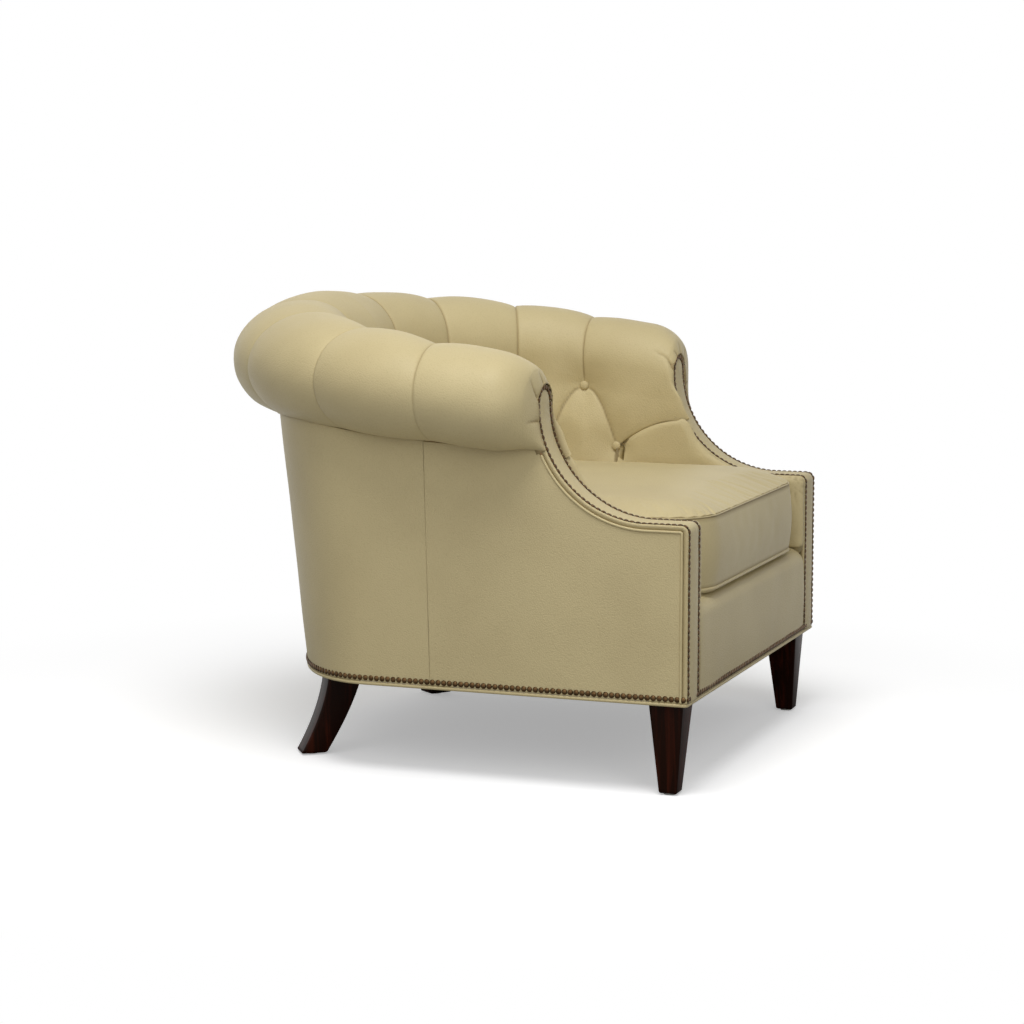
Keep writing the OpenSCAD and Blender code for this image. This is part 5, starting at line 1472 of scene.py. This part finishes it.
def hidden_frame():
    """Gives every CAD node that stays its finish, by the slot that the record names."""
    made = finishes()
    slots = {part["node"]: part["material_slot"] for part in frame["record"]["subparts"]}
    for node, slot in slots.items():
        piece = bpy.data.objects.get(node)
        if piece is not None and piece.type == "MESH":
            for place in piece.material_slots:
                place.link = "OBJECT"
                place.material = made[slot]


# ---- stage ------------------------------------------------------------------------------
def studio():
    """White floor that keeps the chair's shadow, white world, and four wide soft lights."""
    look = bpy.context.scene.chair_studio
    side, up = look.azimuth, look.elevation
    back = Vector((math.sin(side) * math.cos(up), -math.cos(side) * math.cos(up), math.sin(up)))
    target = Vector((-0.30426, 0.31515 + FRONT_Y / 1000, 0.42173))
    lens = bpy.data.cameras.new("camera")
    lens.sensor_width, lens.lens = 36, 2712 * 36 / 1024
    lens.clip_start, lens.clip_end = 0.05, 200
    camera = bpy.data.objects.new("camera", lens)
    camera.location = target + back * look.distance
    camera.rotation_mode = "QUATERNION"
    camera.rotation_quaternion = (-back).to_track_quat("-Z", "Y")
    bpy.context.scene.collection.objects.link(camera)
    bpy.context.scene.camera = camera

    mesh = bpy.data.meshes.new("floor")
    mesh.from_pydata([(-40, -40, 0), (40, -40, 0), (40, 40, 0), (-40, 40, 0)], [], [(0, 1, 2, 3)])
    floor = bpy.data.objects.new("floor", mesh)
    bpy.context.scene.collection.objects.link(floor)
    paint = bpy.data.materials.new("studio floor")
    paint.use_nodes = True
    nodes = paint.node_tree
    nodes.nodes.clear()
    seen = add(nodes, "ShaderNodeLightPath")
    shade = add(nodes, "ShaderNodeMix", {2: 0.42, 3: 0.97}, data_type="FLOAT")
    nodes.links.new(seen.outputs["Is Camera Ray"], shade.inputs[0])
    matt = add(nodes, "ShaderNodeBsdfDiffuse")
    nodes.links.new(shade.outputs[0], matt.inputs["Color"])
    lift = add(nodes, "ShaderNodeEmission", {"Color": (1, 1, 1, 1)})
    nodes.links.new(sums(nodes, "MULTIPLY", seen.outputs["Is Camera Ray"], 0.36), lift.inputs["Strength"])
    both = add(nodes, "ShaderNodeAddShader", {0: matt.outputs[0], 1: lift.outputs[0]})
    white = add(nodes, "ShaderNodeEmission", {"Color": (1, 1, 1, 1)})
    nodes.links.new(sums(nodes, "ADD", sums(nodes, "MULTIPLY",
                                            sums(nodes, "MAXIMUM", seen.outputs["Is Camera Ray"],
                    seen.outputs["Is Glossy Ray"]), 0.6), 0.4), white.inputs["Strength"])
    place = add(nodes, "ShaderNodeTexCoord")
    away = add(nodes, "ShaderNodeVectorMath", {0: place.outputs["Object"]}, operation="LENGTH")
    far = ramp(nodes, away.outputs["Value"], 0.55, 1.4)
    final = add(nodes, "ShaderNodeMixShader", {0: far, 1: both.outputs[0], 2: white.outputs[0]})
    result = add(nodes, "ShaderNodeOutputMaterial")
    nodes.links.new(final.outputs[0], result.inputs["Surface"])
    floor.data.materials.append(paint)

    world = bpy.data.worlds.new("studio")
    world.use_nodes = True
    bpy.context.scene.world = world
    nodes = world.node_tree
    ground = next(n for n in nodes.nodes if n.type == "BACKGROUND")
    seen = add(nodes, "ShaderNodeLightPath")
    shown = sums(nodes, "MAXIMUM", seen.outputs["Is Camera Ray"],
                 sums(nodes, "MAXIMUM", seen.outputs["Is Glossy Ray"], seen.outputs["Is Transmission Ray"]))
    strength = add(nodes, "ShaderNodeMix", {2: look.ambient, 3: 1.0}, data_type="FLOAT")
    nodes.links.new(shown, strength.inputs[0])
    nodes.links.new(strength.outputs[0], ground.inputs["Strength"])
    ground.inputs["Color"].default_value = (1, 1, 1, 1)

    for name, size, power, place in (("overhead", 1.9, look.key_power, (-1.2, -0.4, 3.2)),
                                     ("camera side", 2.4, look.front_power, (-3.0, -2.4, 2.2)),
                                     ("side", 2.4, look.side_power, (-3.0, 0.9, 2.3)),
                                     ("side fill", 2.4, look.fill_power, (-3.6, -0.6, 1.1))):
        lamp = bpy.data.lights.new(name, "AREA")
        lamp.shape, lamp.size, lamp.energy = "DISK", size, power
        light = bpy.data.objects.new(name, lamp)
        light.location = place
        light.rotation_mode = "QUATERNION"
        light.rotation_quaternion = (Vector((0, 0, 0.4)) - light.location).to_track_quat("-Z", "Y")
        bpy.context.scene.collection.objects.link(light)
    view = bpy.context.scene.view_settings
    view.view_transform = "Standard"


# ---- operators --------------------------------------------------------------------------
class CHAIR_OT_studio(bpy.types.Operator):
    """Camera, floor, world and light"""
    bl_idname = "chair.studio"
    bl_label = "Studio"

    def execute(self, context):
        studio()
        return {"FINISHED"}


class CHAIR_OT_tufted_back(bpy.types.Operator):
    """Tufted inside back with its channelled roll"""
    bl_idname = "chair.tufted_back"
    bl_label = "Tufted back and roll"

    def execute(self, context):
        tufted_back()
        return {"FINISHED"}


class CHAIR_OT_arms(bpy.types.Operator):
    """Arm facings, inside arm pads and their welts"""
    bl_idname = "chair.arms"
    bl_label = "Arms"

    def execute(self, context):
        arms()
        return {"FINISHED"}


class CHAIR_OT_outside_panels(bpy.types.Operator):
    """Outside arms, outside back and base welt"""
    bl_idname = "chair.outside_panels"
    bl_label = "Outside panels"

    def execute(self, context):
        outside_panels()
        return {"FINISHED"}


class CHAIR_OT_apron(bpy.types.Operator):
    """Padded cover of the front rail"""
    bl_idname = "chair.apron"
    bl_label = "Front rail cover"

    def execute(self, context):
        apron()
        return {"FINISHED"}


class CHAIR_OT_nails(bpy.types.Operator):
    """Domed nails on the facings and round the base"""
    bl_idname = "chair.nails"
    bl_label = "Nails"

    def execute(self, context):
        nails()
        return {"FINISHED"}


class CHAIR_OT_buttons(bpy.types.Operator):
    """Two rows of covered buttons"""
    bl_idname = "chair.buttons"
    bl_label = "Buttons"

    def execute(self, context):
        buttons()
        return {"FINISHED"}


class CHAIR_OT_cushion(bpy.types.Operator):
    """Loose seat cushion and its two welts"""
    bl_idname = "chair.cushion"
    bl_label = "Seat cushion"

    def execute(self, context):
        cushion()
        return {"FINISHED"}


class CHAIR_OT_legs(bpy.types.Operator):
    """Front and back legs"""
    bl_idname = "chair.legs"
    bl_label = "Legs"

    def execute(self, context):
        legs()
        return {"FINISHED"}


class CHAIR_OT_seat_support(bpy.types.Operator):
    """Deck pad and dust cover"""
    bl_idname = "chair.seat_support"
    bl_label = "Seat support"

    def execute(self, context):
        seat_support()
        return {"FINISHED"}


class CHAIR_OT_hidden_frame(bpy.types.Operator):
    """Finishes of the wooden frame, springs and fittings"""
    bl_idname = "chair.hidden_frame"
    bl_label = "Hidden frame"

    def execute(self, context):
        hidden_frame()
        return {"FINISHED"}


OPERATORS = (CHAIR_OT_studio, CHAIR_OT_tufted_back, CHAIR_OT_arms, CHAIR_OT_outside_panels, CHAIR_OT_apron,
             CHAIR_OT_nails,
             CHAIR_OT_buttons, CHAIR_OT_cushion, CHAIR_OT_legs, CHAIR_OT_seat_support, CHAIR_OT_hidden_frame)


class CHAIR_PT_sidebar(bpy.types.Panel):
    """Lists the chair's operators and settings"""
    bl_idname = "CHAIR_PT_sidebar"
    bl_label = "Club chair"
    bl_space_type = "VIEW_3D"
    bl_region_type = "UI"
    bl_category = "Chair"

    def draw(self, context):
        for operator in OPERATORS:
            self.layout.operator(operator.bl_idname)
        for name, settings in SETTINGS.items():
            box = self.layout.box()
            for key in settings.__annotations__:
                box.prop(getattr(context.scene, name), key)


CLASSES = tuple(SETTINGS.values()) + OPERATORS + (CHAIR_PT_sidebar,)


def register():
    """Registers the classes and hangs the settings on the scene."""
    for item in CLASSES:
        bpy.utils.register_class(item)
    for name, settings in SETTINGS.items():
        setattr(bpy.types.Scene, name, PointerProperty(type=settings))


def unregister():
    """Takes back what register did."""
    for name in SETTINGS:
        delattr(bpy.types.Scene, name)
    for item in reversed(CLASSES):
        bpy.utils.unregister_class(item)


def main():
    """Calls every operator in order."""
    register()
    for operator in OPERATORS:
        group_name, call = operator.bl_idname.split(".")
        getattr(getattr(bpy.ops, group_name), call)()


if __name__ == "__main__":
    main()
